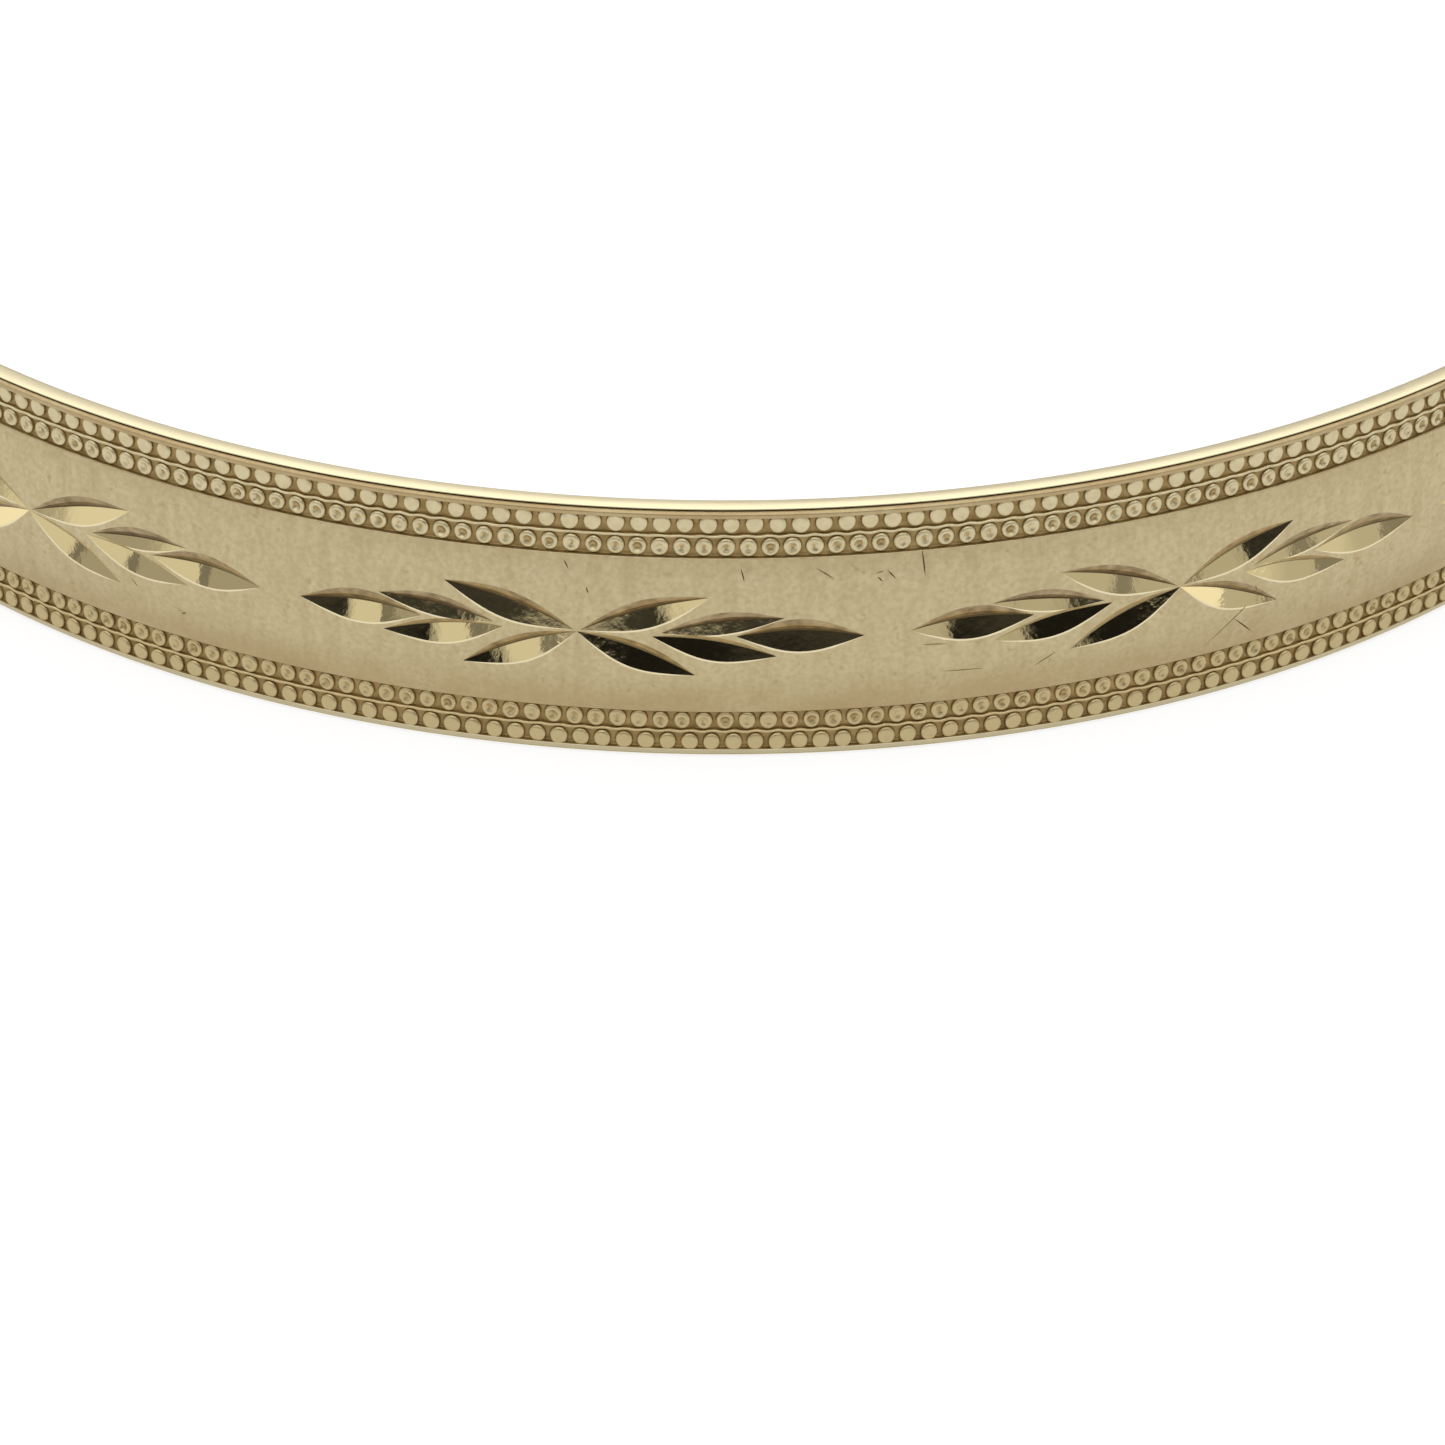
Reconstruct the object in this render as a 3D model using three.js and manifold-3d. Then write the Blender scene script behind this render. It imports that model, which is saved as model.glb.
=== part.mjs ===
// Hinged hollow gold bangle with milgrain borders and bright-cut leaf sprays.
//
// Units are millimetres. +Z is the ring axis and points up, the front faces -Y, and the origin is
// the ring's centre on the plane of the lower rim. The hinge is at -X and the clasp at +X.
// The model is drawn about the middle of the band's width and lifted onto its lower rim at the end.
//
// Each half is an outer strip soldered between the turned-up edges of an inner shell. A solid block
// closes the half at the hinge and a plate closes it at the clasp. Soldered neighbours keep a small
// gap, so that each piece stays a body of its own.

import * as THREE from "three";
import { mergeVertices } from "three/addons/utils/BufferGeometryUtils.js";
import Module from "manifold-3d";

const wasm = await Module();
wasm.setup();

// ---- Driving dimensions -------------------------------------------------------------------------

const OUTER_RADIUS = 32; // at the middle of the width
const HALF_WIDTH = 3.85;
const CROWN_RADIUS = 14; // of the outer face across the field; the borders are level
const FIELD_EDGE = 2.41;
const BORE_RADIUS = 29.8; // the wrist opening, at the middle of the width
const RIM_OUTER = 31.64;
const RIM_THICKNESS = 0.49;
const STRIP_WALL = 0.36;
const SHELL_WALL = 0.25;
const FLANGE = 0.05; // height of the shell's turned-up edge
const CORNER = 0.03; // chamfer on the polished rims
const SOLDER_GAP = 0.03;
const BLOCK_GAP = 0.05; // around the blocks and plates inside the hollow
const SEAM_ANGLE = 0.1; // degrees that each half stops short of the parting plane
const CUT_PAST = 1; // how far a cutter runs on through the faces it cuts
const RING_STEPS = 36;

const rimInner = RIM_OUTER - RIM_THICKNESS;
const stripEdge = HALF_WIDTH - FLANGE - SOLDER_GAP;

// Inner face of the shell: an arc across the width that bulges towards the wrist.
const bulgeSag = rimInner - BORE_RADIUS;
const bulgeHalf = HALF_WIDTH - CORNER;
const bulgeRadius = (bulgeHalf ** 2 + bulgeSag ** 2) / (2 * bulgeSag);
const BULGE_STATIONS = [0, 1.5, 2.8];
const BLOCK_STATIONS = [0, 1.05, 2.1, 3.2];
const SHELL_SHOULDER = 3.45; // where the hollow's wall turns straight up to the flange

// Milgrain: two rows of beads and a ridge between them, in a sunk channel along each border.
const OUTER_ROW = 3.41;
const INNER_ROW = 2.7;
const RIDGE = (OUTER_ROW + INNER_ROW) / 2;
const ROW_HALF_WIDTH = 0.22;
const CHANNEL_DEPTH = 0.14;
const ROW_DROP = 0.02; // of the beads' tops and the ridge below the border's edge
const LIP_DROP = 0.12; // of the strip's outermost edge

// Bright-cut sprays: six on each half, evenly spaced about its middle.
const SPRAYS_PER_HALF = 6;
const SPRAY_PITCH = 28.7; // degrees
const SPRAY_HEIGHT = 0.06; // of the spray's centre above the middle of the width
const CUT_DEPTH = 0.2;
const KEEL_SHIFT = 0.3; // the groove's deepest line lies nearer its upper edge
const LEAF_STATIONS = 4;
const OVERCUT = 1.25; // carries both walls of a cutter on past the surface
const POINT_LIFT = 0.02; // of a cutter's two points above the surface
// One side of a spray, mirrored for the other. Root and tip are along and across the band.
const LEAVES = [
  { root: [0.08, 0.05], tip: [3.45, 1.14], above: 0.43, below: 0.46 },
  { root: [0, 0], tip: [3.09, -1.29], above: 0.38, below: 0.5 },
  { root: [2.19, 0.07], tip: [5.35, 0.53], above: 0.4, below: 0.3 },
  { root: [1.95, -0.04], tip: [5.26, -0.65], above: 0.3, below: 0.5 },
  { root: [4.14, -0.01], tip: [7.5, -0.1], above: 0.53, below: 0.53 },
];

// Hinge: five knuckles on one pin, centred on the outer face at -X.
const HINGE_X = -OUTER_RADIUS;
const KNUCKLE_RADIUS = 0.9;
const KNUCKLE_BORE = 0.46;
const PIN_RADIUS = 0.4;
const SEAT_RADIUS = 0.97;
const BARREL_HALF = 3.75;
const PIN_PROUD = 0.04; // of the barrel at each end
const PIN_CHAMFER = { radius: 0.06, height: 0.08 };
const KNUCKLE_GAP = 0.05;
const KNUCKLES = [
  "front_knuckle_lower",
  "back_knuckle_lower",
  "front_knuckle_middle",
  "back_knuckle_upper",
  "front_knuckle_upper",
];
const ROUND_STEPS = 20;
const SMALL_STEPS = 12; // round the smallest turned pieces
const HINGE_BLOCK_ANGLE = 3.4;

// Clasp: a folded tongue on the back half enters a slot in the front half. Its outlines are drawn
// as [distance from the hinge axis, distance along the arc past the parting plane], so that the
// tongue follows the arc on which it swings.
const FRONT_PLATE_ANGLE = 1.1;
const BACK_PLATE_ANGLE = 2.1;
const BLADE = { inner: 62.38, outer: 62.62, root: -0.65, tip: 5.2, halfHeight: 1.2 };
const FOLD = { outer: 62.87, start: 4.96 };
const LEAF = { thickness: 0.2, foldInner: 62.67, freeInner: 63.1, fold: 4.9, free: 0.72 };
const LEAF_HALF_HEIGHT = 1.1;
const SLOT_CLEARANCE = 0.05;
const SLOT_SPARE_HEIGHT = 0.1; // above and below the blade
const NOTCH = { outer: 66, end: 1.85, halfHeight: 0.75 };
const TAB = { start: 0.75, end: 1.6, top: 64.5, crown: 0.15, halfHeight: 0.6 };

// Safety catch on the upper rim: a figure-eight wire swings on a small tube and drops over a ball.
const SAFETY_X = 31.375;
const SAFETY_TUBE_Y = 1.6;
const SAFETY_REACH = 4;
const SAFETY_TUBE = { radius: 0.42, bore: 0.3, halfLength: 0.62 };
const WIRE_RADIUS = 0.22;
const BALL_RADIUS = 0.55;
const BALL_CLEARANCE = 0.09;
const POST_RADIUS = 0.3;
const BALL_HEIGHT = 0.82; // of the ball's centre above the rim
// The wire's hinge eye: a straight side in the tube, then sides that bow out and run in to a waist.
const HINGE_EYE = {
  sideSpare: 0.1, // of the straight side beyond the tube, at each end
  bow: 0.18,
  sides: [0.3, 0.9], // distances from the straight side at which the eye is widest
  // Shares of the greatest half width, and of the way from the straight side to the waist.
  taper: [
    [0.7, 0.6],
    [0.3, 0.86],
  ],
};
const NECK_OVERLAP = 0.02; // of the post into the ball
const BALL_STEPS = 5;
const WIRE_STEPS = 26;
const WIRE_SIDES = 6;
const EYE_STEPS = 20;

const COLOURS = {
  satin: { color: 0xc6b07c, roughness: 0.42 },
  polished: { color: 0xe6d3a0, roughness: 0.16 },
  inside: { color: 0xd9c48f, roughness: 0.25 },
  spring: { color: 0xcfb780, roughness: 0.3 },
};

// ---- Curves of the cross-section ----------------------------------------------------------------

function faceRadius(z) {
  const height = Math.min(Math.abs(z), FIELD_EDGE);
  return OUTER_RADIUS - CROWN_RADIUS + Math.sqrt(CROWN_RADIUS ** 2 - height ** 2);
}

function bulge(z, offset) {
  return BORE_RADIUS + bulgeRadius - Math.sqrt((bulgeRadius - offset) ** 2 - z ** 2);
}

// The upper half of a profile and its mirror image, as one list of [radius, height].
function mirrored(upper) {
  const lower = upper.map(([r, z]) => [r, -z]).reverse();
  return [...lower.filter(([, z]) => z !== 0), ...upper];
}

function stripSection() {
  const relief = [
    [0, 0],
    [FIELD_EDGE / 2, 0],
    [FIELD_EDGE, 0],
    [INNER_ROW - ROW_HALF_WIDTH, CHANNEL_DEPTH],
    [INNER_ROW, ROW_DROP],
    [INNER_ROW + ROW_HALF_WIDTH, CHANNEL_DEPTH],
    [RIDGE, ROW_DROP],
    [OUTER_ROW - ROW_HALF_WIDTH, CHANNEL_DEPTH],
    [OUTER_ROW, ROW_DROP],
    [OUTER_ROW + ROW_HALF_WIDTH, CHANNEL_DEPTH],
    [stripEdge, LIP_DROP],
  ];
  const outside = mirrored(relief.map(([z, drop]) => [faceRadius(z) - drop, z]));
  const insideStations = [0, BLOCK_STATIONS[2], stripEdge];
  const inside = mirrored(insideStations.map((z) => [faceRadius(z) - STRIP_WALL, z]));
  return [...outside, ...inside.reverse()];
}

function shellSection() {
  const shoulder = bulge(SHELL_SHOULDER, SHELL_WALL);
  const flangeFoot = HALF_WIDTH - FLANGE;
  const wrist = mirrored([
    ...BULGE_STATIONS.map((z) => [bulge(z, 0), z]),
    [rimInner, bulgeHalf],
    [rimInner + CORNER, HALF_WIDTH],
    [RIM_OUTER - CORNER, HALF_WIDTH],
    [RIM_OUTER, HALF_WIDTH - CORNER],
  ]);
  const hollow = mirrored([
    ...BLOCK_STATIONS.map((z) => [bulge(z, SHELL_WALL), z]),
    [shoulder, SHELL_SHOULDER],
    [shoulder, flangeFoot],
    [RIM_OUTER, flangeFoot],
  ]);
  return [...wrist.reverse(), ...hollow];
}

function blockSection() {
  const outside = mirrored(
    BLOCK_STATIONS.map((z) => [faceRadius(z) - STRIP_WALL - BLOCK_GAP, z]),
  );
  const inside = mirrored(BLOCK_STATIONS.map((z) => [bulge(z, SHELL_WALL) + BLOCK_GAP, z]));
  return [...outside, ...inside.reverse()];
}

// ---- Solids -------------------------------------------------------------------------------------

// Front half has side -1, back half +1. The angle runs from -90 at the hinge to +90 at the clasp.
function onRing(side, degrees, radius, z) {
  const angle = THREE.MathUtils.degToRad(degrees);
  return new THREE.Vector3(radius * Math.sin(angle), side * radius * Math.cos(angle), z);
}

function closedMesh(points, triangles) {
  const geometry = new THREE.BufferGeometry().setFromPoints(points);
  geometry.setIndex(triangles);
  return geometry;
}

function solidOf(geometry) {
  const bare = geometry.clone();
  bare.deleteAttribute("normal");
  bare.deleteAttribute("uv");
  const merged = mergeVertices(bare, 1e-4);
  const mesh = new wasm.Mesh({
    numProp: 3,
    vertProperties: merged.attributes.position.array,
    triVerts: new Uint32Array(merged.index.array),
  });
  return new wasm.Manifold(mesh);
}

function geometryOf(solid) {
  const mesh = solid.getMesh();
  const geometry = new THREE.BufferGeometry();
  geometry.setAttribute("position", new THREE.BufferAttribute(mesh.vertProperties, 3));
  geometry.setIndex(new THREE.BufferAttribute(mesh.triVerts, 1));
  const flat = geometry.toNonIndexed();
  flat.computeVertexNormals();
  return flat;
}

// A closed section swept round the ring between two angles, with flat ends.
function ringSweep(section, side, start, end, steps) {
  const count = section.length;
  const points = [];
  for (let i = 0; i <= steps; i++) {
    const angle = THREE.MathUtils.lerp(start, end, i / steps);
    section.forEach(([r, z]) => points.push(onRing(side, angle, r, z)));
  }
  const triangles = [];
  for (let i = 0; i < steps; i++) {
    for (let j = 0; j < count; j++) {
      const a = i * count + j;
      const b = i * count + ((j + 1) % count);
      triangles.push(a, b, a + count, b, b + count, a + count);
    }
  }
  const outline = section.map(([r, z]) => new THREE.Vector2(r, z));
  const last = steps * count;
  THREE.ShapeUtils.triangulateShape(outline, []).forEach(([a, b, c]) => {
    triangles.push(a, c, b, last + a, last + b, last + c);
  });
  const solid = solidOf(closedMesh(points, triangles));
  if (solid.volume() > 0) return solid;
  return solidOf(closedMesh(points, triangles.reverse()));
}

// A point given by its distance from the hinge axis and its arc length past the parting plane.
function aboutHinge([distance, along]) {
  const angle = -along / distance;
  const x = HINGE_X + distance * Math.cos(angle);
  return new THREE.Vector2(x, distance * Math.sin(angle));
}

function hingePlate(outline, halfHeight) {
  const shape = new THREE.Shape(outline.map(aboutHinge));
  const options = { depth: 2 * halfHeight, bevelEnabled: false };
  const geometry = new THREE.ExtrudeGeometry(shape, options);
  geometry.translate(0, 0, -halfHeight);
  return solidOf(geometry);
}

// Two edges of a curved strip, from one end to the other and back.
function arcBand(start, end, inner, outer, steps) {
  const edge = (ends) =>
    Array.from({ length: steps + 1 }, (_, i) => {
      const t = i / steps;
      return [THREE.MathUtils.lerp(ends[0], ends[1], t), THREE.MathUtils.lerp(start, end, t)];
    });
  return [...edge(inner), ...edge(outer).reverse()];
}

function turned(profile, steps = ROUND_STEPS) {
  const outline = profile.map(([r, z]) => new THREE.Vector2(r, z));
  const geometry = new THREE.LatheGeometry(outline, steps);
  geometry.rotateX(Math.PI / 2);
  return solidOf(geometry);
}

function tube(outer, inner, low, high, steps = ROUND_STEPS) {
  const profile = [
    [inner, low],
    [outer, low],
    [outer, high],
    [inner, high],
    [inner, low],
  ];
  return turned(profile, steps);
}

// ---- Bright-cut leaves --------------------------------------------------------------------------

// A keel-shaped cutter for one leaf: a V groove that runs out to a point at both ends.
function leafCutter(side, sprayAngle, leaf, mirror) {
  const [rootS, rootZ] = leaf.root;
  const [tipS, tipZ] = leaf.tip;
  const length = Math.hypot(tipS - rootS, tipZ - rootZ);
  const across = [-(tipZ - rootZ) / length, (tipS - rootS) / length];
  const surfacePoint = (t, offset, lift) => {
    const s = THREE.MathUtils.lerp(rootS, tipS, t) + across[0] * offset;
    const z = THREE.MathUtils.lerp(rootZ, tipZ, t) + across[1] * offset + SPRAY_HEIGHT;
    const angle = sprayAngle + THREE.MathUtils.radToDeg((mirror * s) / OUTER_RADIUS);
    return onRing(side, angle, faceRadius(z) + lift, z);
  };
  const points = [surfacePoint(0, 0, POINT_LIFT)];
  for (let i = 1; i < LEAF_STATIONS; i++) {
    const t = i / LEAF_STATIONS;
    const swell = Math.sin(Math.PI * t);
    const keel = leaf.above * KEEL_SHIFT * swell;
    const lift = CUT_DEPTH * swell * (OVERCUT - 1);
    points.push(surfacePoint(t, keel + (leaf.above * swell - keel) * OVERCUT, lift));
    points.push(surfacePoint(t, keel, -CUT_DEPTH * swell));
    points.push(surfacePoint(t, keel - (leaf.below * swell + keel) * OVERCUT, lift));
  }
  points.push(surfacePoint(1, 0, POINT_LIFT));
  const triangles = [];
  const tip = points.length - 1;
  for (let k = 0; k < 3; k++) {
    const next = (k + 1) % 3;
    triangles.push(0, 1 + k, 1 + next);
    triangles.push(tip, tip - 3 + next, tip - 3 + k);
    for (let i = 0; i < LEAF_STATIONS - 2; i++) {
      const a = 1 + 3 * i;
      triangles.push(a + k, a + 3 + k, a + next, a + next, a + 3 + k, a + 3 + next);
    }
  }
  const solid = solidOf(closedMesh(points, triangles));
  if (solid.volume() > 0) return solid;
  return solidOf(closedMesh(points, triangles.reverse()));
}

function cutSprays(strip, side) {
  let cut = strip;
  for (let i = 0; i < SPRAYS_PER_HALF; i++) {
    const angle = (i - (SPRAYS_PER_HALF - 1) / 2) * SPRAY_PITCH;
    for (const leaf of LEAVES) {
      cut = cut.subtract(leafCutter(side, angle, leaf, 1));
      cut = cut.subtract(leafCutter(side, angle, leaf, -1));
    }
  }
  return cut;
}

// ---- The two halves -----------------------------------------------------------------------------

const hingeEnd = -90 + SEAM_ANGLE;
const claspEnd = 90 - SEAM_ANGLE;

function hingeSeat() {
  const end = HALF_WIDTH + CUT_PAST;
  return turned([
    [0, -end],
    [SEAT_RADIUS, -end],
    [SEAT_RADIUS, end],
    [0, end],
  ]).translate([HINGE_X, 0, 0]);
}

function halfRing(section, side) {
  return ringSweep(section, side, hingeEnd, claspEnd, RING_STEPS).subtract(hingeSeat());
}

function hingeBlock(side) {
  const end = hingeEnd + HINGE_BLOCK_ANGLE;
  return ringSweep(blockSection(), side, hingeEnd, end, 1).subtract(hingeSeat());
}

// ---- Clasp --------------------------------------------------------------------------------------

const leafOuterFree = LEAF.freeInner + LEAF.thickness;

function claspSlot() {
  const inner = BLADE.inner - SLOT_CLEARANCE;
  const outer = leafOuterFree + SLOT_CLEARANCE;
  const end = OUTER_RADIUS * THREE.MathUtils.degToRad(FRONT_PLATE_ANGLE) + CUT_PAST;
  const outline = arcBand(-CUT_PAST, end, [inner, inner], [outer, outer], 1);
  return hingePlate(outline, BLADE.halfHeight + SLOT_SPARE_HEIGHT);
}

function tabNotch() {
  const inner = [leafOuterFree, leafOuterFree];
  const outer = [NOTCH.outer, NOTCH.outer];
  const outline = arcBand(-CUT_PAST, NOTCH.end, inner, outer, 1);
  return hingePlate(outline, NOTCH.halfHeight);
}

function frontClaspPlate() {
  const plate = ringSweep(blockSection(), -1, claspEnd - FRONT_PLATE_ANGLE, claspEnd, 1);
  return plate.subtract(claspSlot()).subtract(tabNotch());
}

function backClaspPlate() {
  const plate = ringSweep(blockSection(), 1, claspEnd - BACK_PLATE_ANGLE, claspEnd, 1);
  const inner = BLADE.inner - SLOT_CLEARANCE;
  const outer = BLADE.outer + SLOT_CLEARANCE;
  const root = BLADE.root - SLOT_CLEARANCE;
  const recess = arcBand(root, CUT_PAST, [inner, inner], [outer, outer], 1);
  return plate.subtract(hingePlate(recess, BLADE.halfHeight + SLOT_CLEARANCE));
}

function tongueBlade() {
  const flat = arcBand(
    BLADE.root,
    BLADE.tip,
    [BLADE.inner, BLADE.inner],
    [BLADE.outer, BLADE.outer],
    4,
  );
  const bend = arcBand(
    FOLD.start,
    BLADE.tip,
    [BLADE.inner, BLADE.inner],
    [FOLD.outer, FOLD.outer],
    1,
  );
  return hingePlate(flat, BLADE.halfHeight).add(hingePlate(bend, BLADE.halfHeight));
}

function springLeaf() {
  const inner = [LEAF.foldInner, LEAF.freeInner];
  const outer = inner.map((distance) => distance + LEAF.thickness);
  return hingePlate(arcBand(LEAF.fold, LEAF.free, inner, outer, 4), LEAF_HALF_HEIGHT);
}

function thumbTab() {
  const slope = (LEAF.freeInner - LEAF.foldInner) / (LEAF.fold - LEAF.free);
  const foot = leafOuterFree + SLOT_CLEARANCE;
  const footEnd = foot - slope * (TAB.end - TAB.start);
  const shoulder = TAB.top - TAB.crown;
  const outline = [
    [foot, TAB.start],
    [shoulder, TAB.start],
    [TAB.top, TAB.start + TAB.crown],
    [TAB.top, TAB.end - TAB.crown],
    [shoulder, TAB.end],
    [footEnd, TAB.end],
  ];
  return hingePlate(outline, TAB.halfHeight);
}

// ---- Safety catch -------------------------------------------------------------------------------

const safetyHeight = HALF_WIDTH + SOLDER_GAP + SAFETY_TUBE.radius;

function safetyTube() {
  const { radius, bore, halfLength } = SAFETY_TUBE;
  return tube(radius, bore, -halfLength, halfLength, SMALL_STEPS)
    .rotate([0, 90, 0])
    .translate([SAFETY_X, SAFETY_TUBE_Y, safetyHeight]);
}

// The wire's two eyes: one with a straight side that turns in the tube, one round for the ball.
function figureEight() {
  const eyeRadius = BALL_RADIUS + BALL_CLEARANCE + WIRE_RADIUS;
  const side = SAFETY_TUBE.halfLength + HINGE_EYE.sideSpare;
  const shoulder = SAFETY_TUBE.halfLength + WIRE_RADIUS + HINGE_EYE.bow;
  const waist = SAFETY_REACH - eyeRadius - WIRE_RADIUS / 2;
  const half = [
    [0, 0],
    [side, 0],
    ...HINGE_EYE.sides.map((y) => [shoulder, y]),
    ...HINGE_EYE.taper.map(([across, along]) => [across * shoulder, along * waist]),
    [0, waist],
  ];
  const otherHalf = half.slice(1, -1).reverse();
  const path = [...half, ...otherHalf.map(([x, y]) => [-x, y])];
  const curve = new THREE.CatmullRomCurve3(
    path.map(([x, y]) => new THREE.Vector3(x, y, 0)),
    true,
  );
  const hingeEye = new THREE.TubeGeometry(curve, WIRE_STEPS, WIRE_RADIUS, WIRE_SIDES, true);
  const ballEye = new THREE.TorusGeometry(eyeRadius, WIRE_RADIUS, WIRE_SIDES, EYE_STEPS);
  ballEye.translate(0, SAFETY_REACH, 0);
  return solidOf(hingeEye)
    .add(solidOf(ballEye))
    .translate([SAFETY_X, SAFETY_TUBE_Y, safetyHeight]);
}

function ballPeg() {
  const neck = BALL_HEIGHT - Math.sqrt(BALL_RADIUS ** 2 - POST_RADIUS ** 2);
  const start = Math.asin(POST_RADIUS / BALL_RADIUS);
  const ball = Array.from({ length: BALL_STEPS + 1 }, (_, i) => {
    const angle = start + ((Math.PI - start) * i) / BALL_STEPS;
    const radius = i === BALL_STEPS ? 0 : BALL_RADIUS * Math.sin(angle);
    return [radius, BALL_HEIGHT - BALL_RADIUS * Math.cos(angle)];
  });
  const profile = [
    [0, SOLDER_GAP],
    [POST_RADIUS, SOLDER_GAP],
    [POST_RADIUS, neck - NECK_OVERLAP],
    ...ball,
  ];
  const place = [SAFETY_X, SAFETY_TUBE_Y - SAFETY_REACH, HALF_WIDTH];
  return turned(profile, SMALL_STEPS).translate(place);
}

// ---- Assembly -----------------------------------------------------------------------------------

const bangle = new THREE.Group();
bangle.position.z = HALF_WIDTH;

function addPiece(name, solid, finish) {
  const material = new THREE.MeshStandardMaterial({ ...COLOURS[finish], metalness: 1 });
  const mesh = new THREE.Mesh(geometryOf(solid), material);
  mesh.name = name;
  bangle.add(mesh);
}

for (const [half, side] of [
  ["front", -1],
  ["back", 1],
]) {
  let strip = cutSprays(halfRing(stripSection(), side), side);
  if (half === "front") strip = strip.subtract(tabNotch());
  addPiece(half + "_outer_strip", strip, "satin");
  addPiece(half + "_inner_shell", halfRing(shellSection(), side), "polished");
  addPiece(half + "_hinge_block", hingeBlock(side), "inside");
}

const knuckleLength = (2 * BARREL_HALF + KNUCKLE_GAP) / KNUCKLES.length - KNUCKLE_GAP;
KNUCKLES.forEach((name, i) => {
  const low = -BARREL_HALF + i * (knuckleLength + KNUCKLE_GAP);
  const knuckle = tube(KNUCKLE_RADIUS, KNUCKLE_BORE, low, low + knuckleLength);
  addPiece(name, knuckle.translate([HINGE_X, 0, 0]), "polished");
});

const pinEnd = BARREL_HALF + PIN_PROUD;
const pinProfile = mirrored([
  [PIN_RADIUS, pinEnd - PIN_CHAMFER.height],
  [PIN_RADIUS - PIN_CHAMFER.radius, pinEnd],
  [0, pinEnd],
]);
addPiece("hinge_pin", turned(pinProfile).translate([HINGE_X, 0, 0]), "polished");

addPiece("front_clasp_plate", frontClaspPlate(), "inside");
addPiece("back_clasp_plate", backClaspPlate(), "inside");
addPiece("tongue_blade", tongueBlade(), "spring");
addPiece("tongue_spring_leaf", springLeaf(), "spring");
addPiece("thumb_tab", thumbTab(), "polished");
addPiece("safety_hinge_tube", safetyTube(), "polished");
addPiece("figure_eight_wire", figureEight(), "polished");
addPiece("safety_ball_peg", ballPeg(), "polished");

export default bangle;
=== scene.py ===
"""Hinged gold bangle with milgrain borders and bright-cut leaf sprays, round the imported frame.

Lengths are written in millimetres and turned into metres when a mesh is made. The ring stands on
its lower rim; heights in the outlines are counted from the middle of the band's width.
"""

import math
import random

import bmesh
import bpy
import numpy as np
from mathutils import Matrix, Vector


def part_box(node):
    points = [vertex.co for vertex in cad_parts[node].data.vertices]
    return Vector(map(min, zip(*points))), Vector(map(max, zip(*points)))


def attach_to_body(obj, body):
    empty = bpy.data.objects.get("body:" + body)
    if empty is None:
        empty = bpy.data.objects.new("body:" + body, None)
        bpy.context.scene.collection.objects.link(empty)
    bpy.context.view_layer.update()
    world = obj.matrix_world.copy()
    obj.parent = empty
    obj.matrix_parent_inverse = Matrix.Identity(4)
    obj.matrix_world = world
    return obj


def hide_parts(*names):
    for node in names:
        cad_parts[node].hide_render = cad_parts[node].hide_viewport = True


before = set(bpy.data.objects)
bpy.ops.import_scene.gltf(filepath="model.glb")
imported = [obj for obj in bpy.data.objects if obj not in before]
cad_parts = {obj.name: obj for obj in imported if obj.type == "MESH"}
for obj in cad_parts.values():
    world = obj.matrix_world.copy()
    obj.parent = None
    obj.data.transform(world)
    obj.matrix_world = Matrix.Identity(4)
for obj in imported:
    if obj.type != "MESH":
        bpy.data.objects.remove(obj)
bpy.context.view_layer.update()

MM = 0.001
strip_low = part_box("front_outer_strip")[0]
shell_low, shell_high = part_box("front_inner_shell")
pin_low, pin_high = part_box("hinge_pin")

# ---- Sizes ----

OUTER_RADIUS = round(-strip_low.y / MM, 2)
HALF_WIDTH = round((shell_high.z - shell_low.z) / MM / 2, 2)
CROWN_RADIUS = 14.0
BORE_RADIUS = 29.8
RIM_OUTER = 31.68
RIM_INNER = 31.15
STRIP_WALL = 0.36
SHELL_WALL = 0.25
FLANGE = 0.05
FLANGE_STEP = 0.05  # how far the hollow's foot stays inside the rim
CORNER = 0.03
RIM_ROUND = 0.14  # the rounding of a rim towards the wrist
SHELL_SHOULDER = 3.45  # where the hollow's wall turns straight up to the flange
BLOCK_HALF_HEIGHT = 3.2
SOLDER_GAP = 0.025
BLOCK_GAP = 0.05
SEAM_ANGLE = 0.02
RIM_SEAM_ANGLE = 0.005  # finer in the shell, so that no light shows through the rims
LAP_ANGLE = 0.05  # how far the back half's end plates reach past the seam
RECESS_ANGLE = 0.15  # how far the front half's end plates stay behind it
HINGE_BLOCK_ANGLE = 3.5  # how far the hinge blocks reach round the ring
FRONT_PLATE_ANGLE = 1.2
BACK_PLATE_ANGLE = 2.2
RING_STEPS = 240

FIELD_EDGE = 2.41
OUTER_ROW = 3.40
INNER_ROW = 2.71
RIDGE = 3.05
CHANNEL_TOP = 3.60
CHANNEL_DEPTH = 0.12
EDGE_ROUND = 0.03
# How far a lip drops below the border, and at what height, as it rounds over.
LIP_DROPS = [(0.004, 3.66), (0.006, 3.70), (0.014, 3.725), (0.035, 3.748), (0.075, 3.763)]
LIP_EDGE_DROP = 0.12
OUTER_BEADS = {1: 168, -1: 172}  # round half the ring, on the upper and on the lower border
INNER_BEADS = 175
BEAD_SIDES = 16
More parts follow.
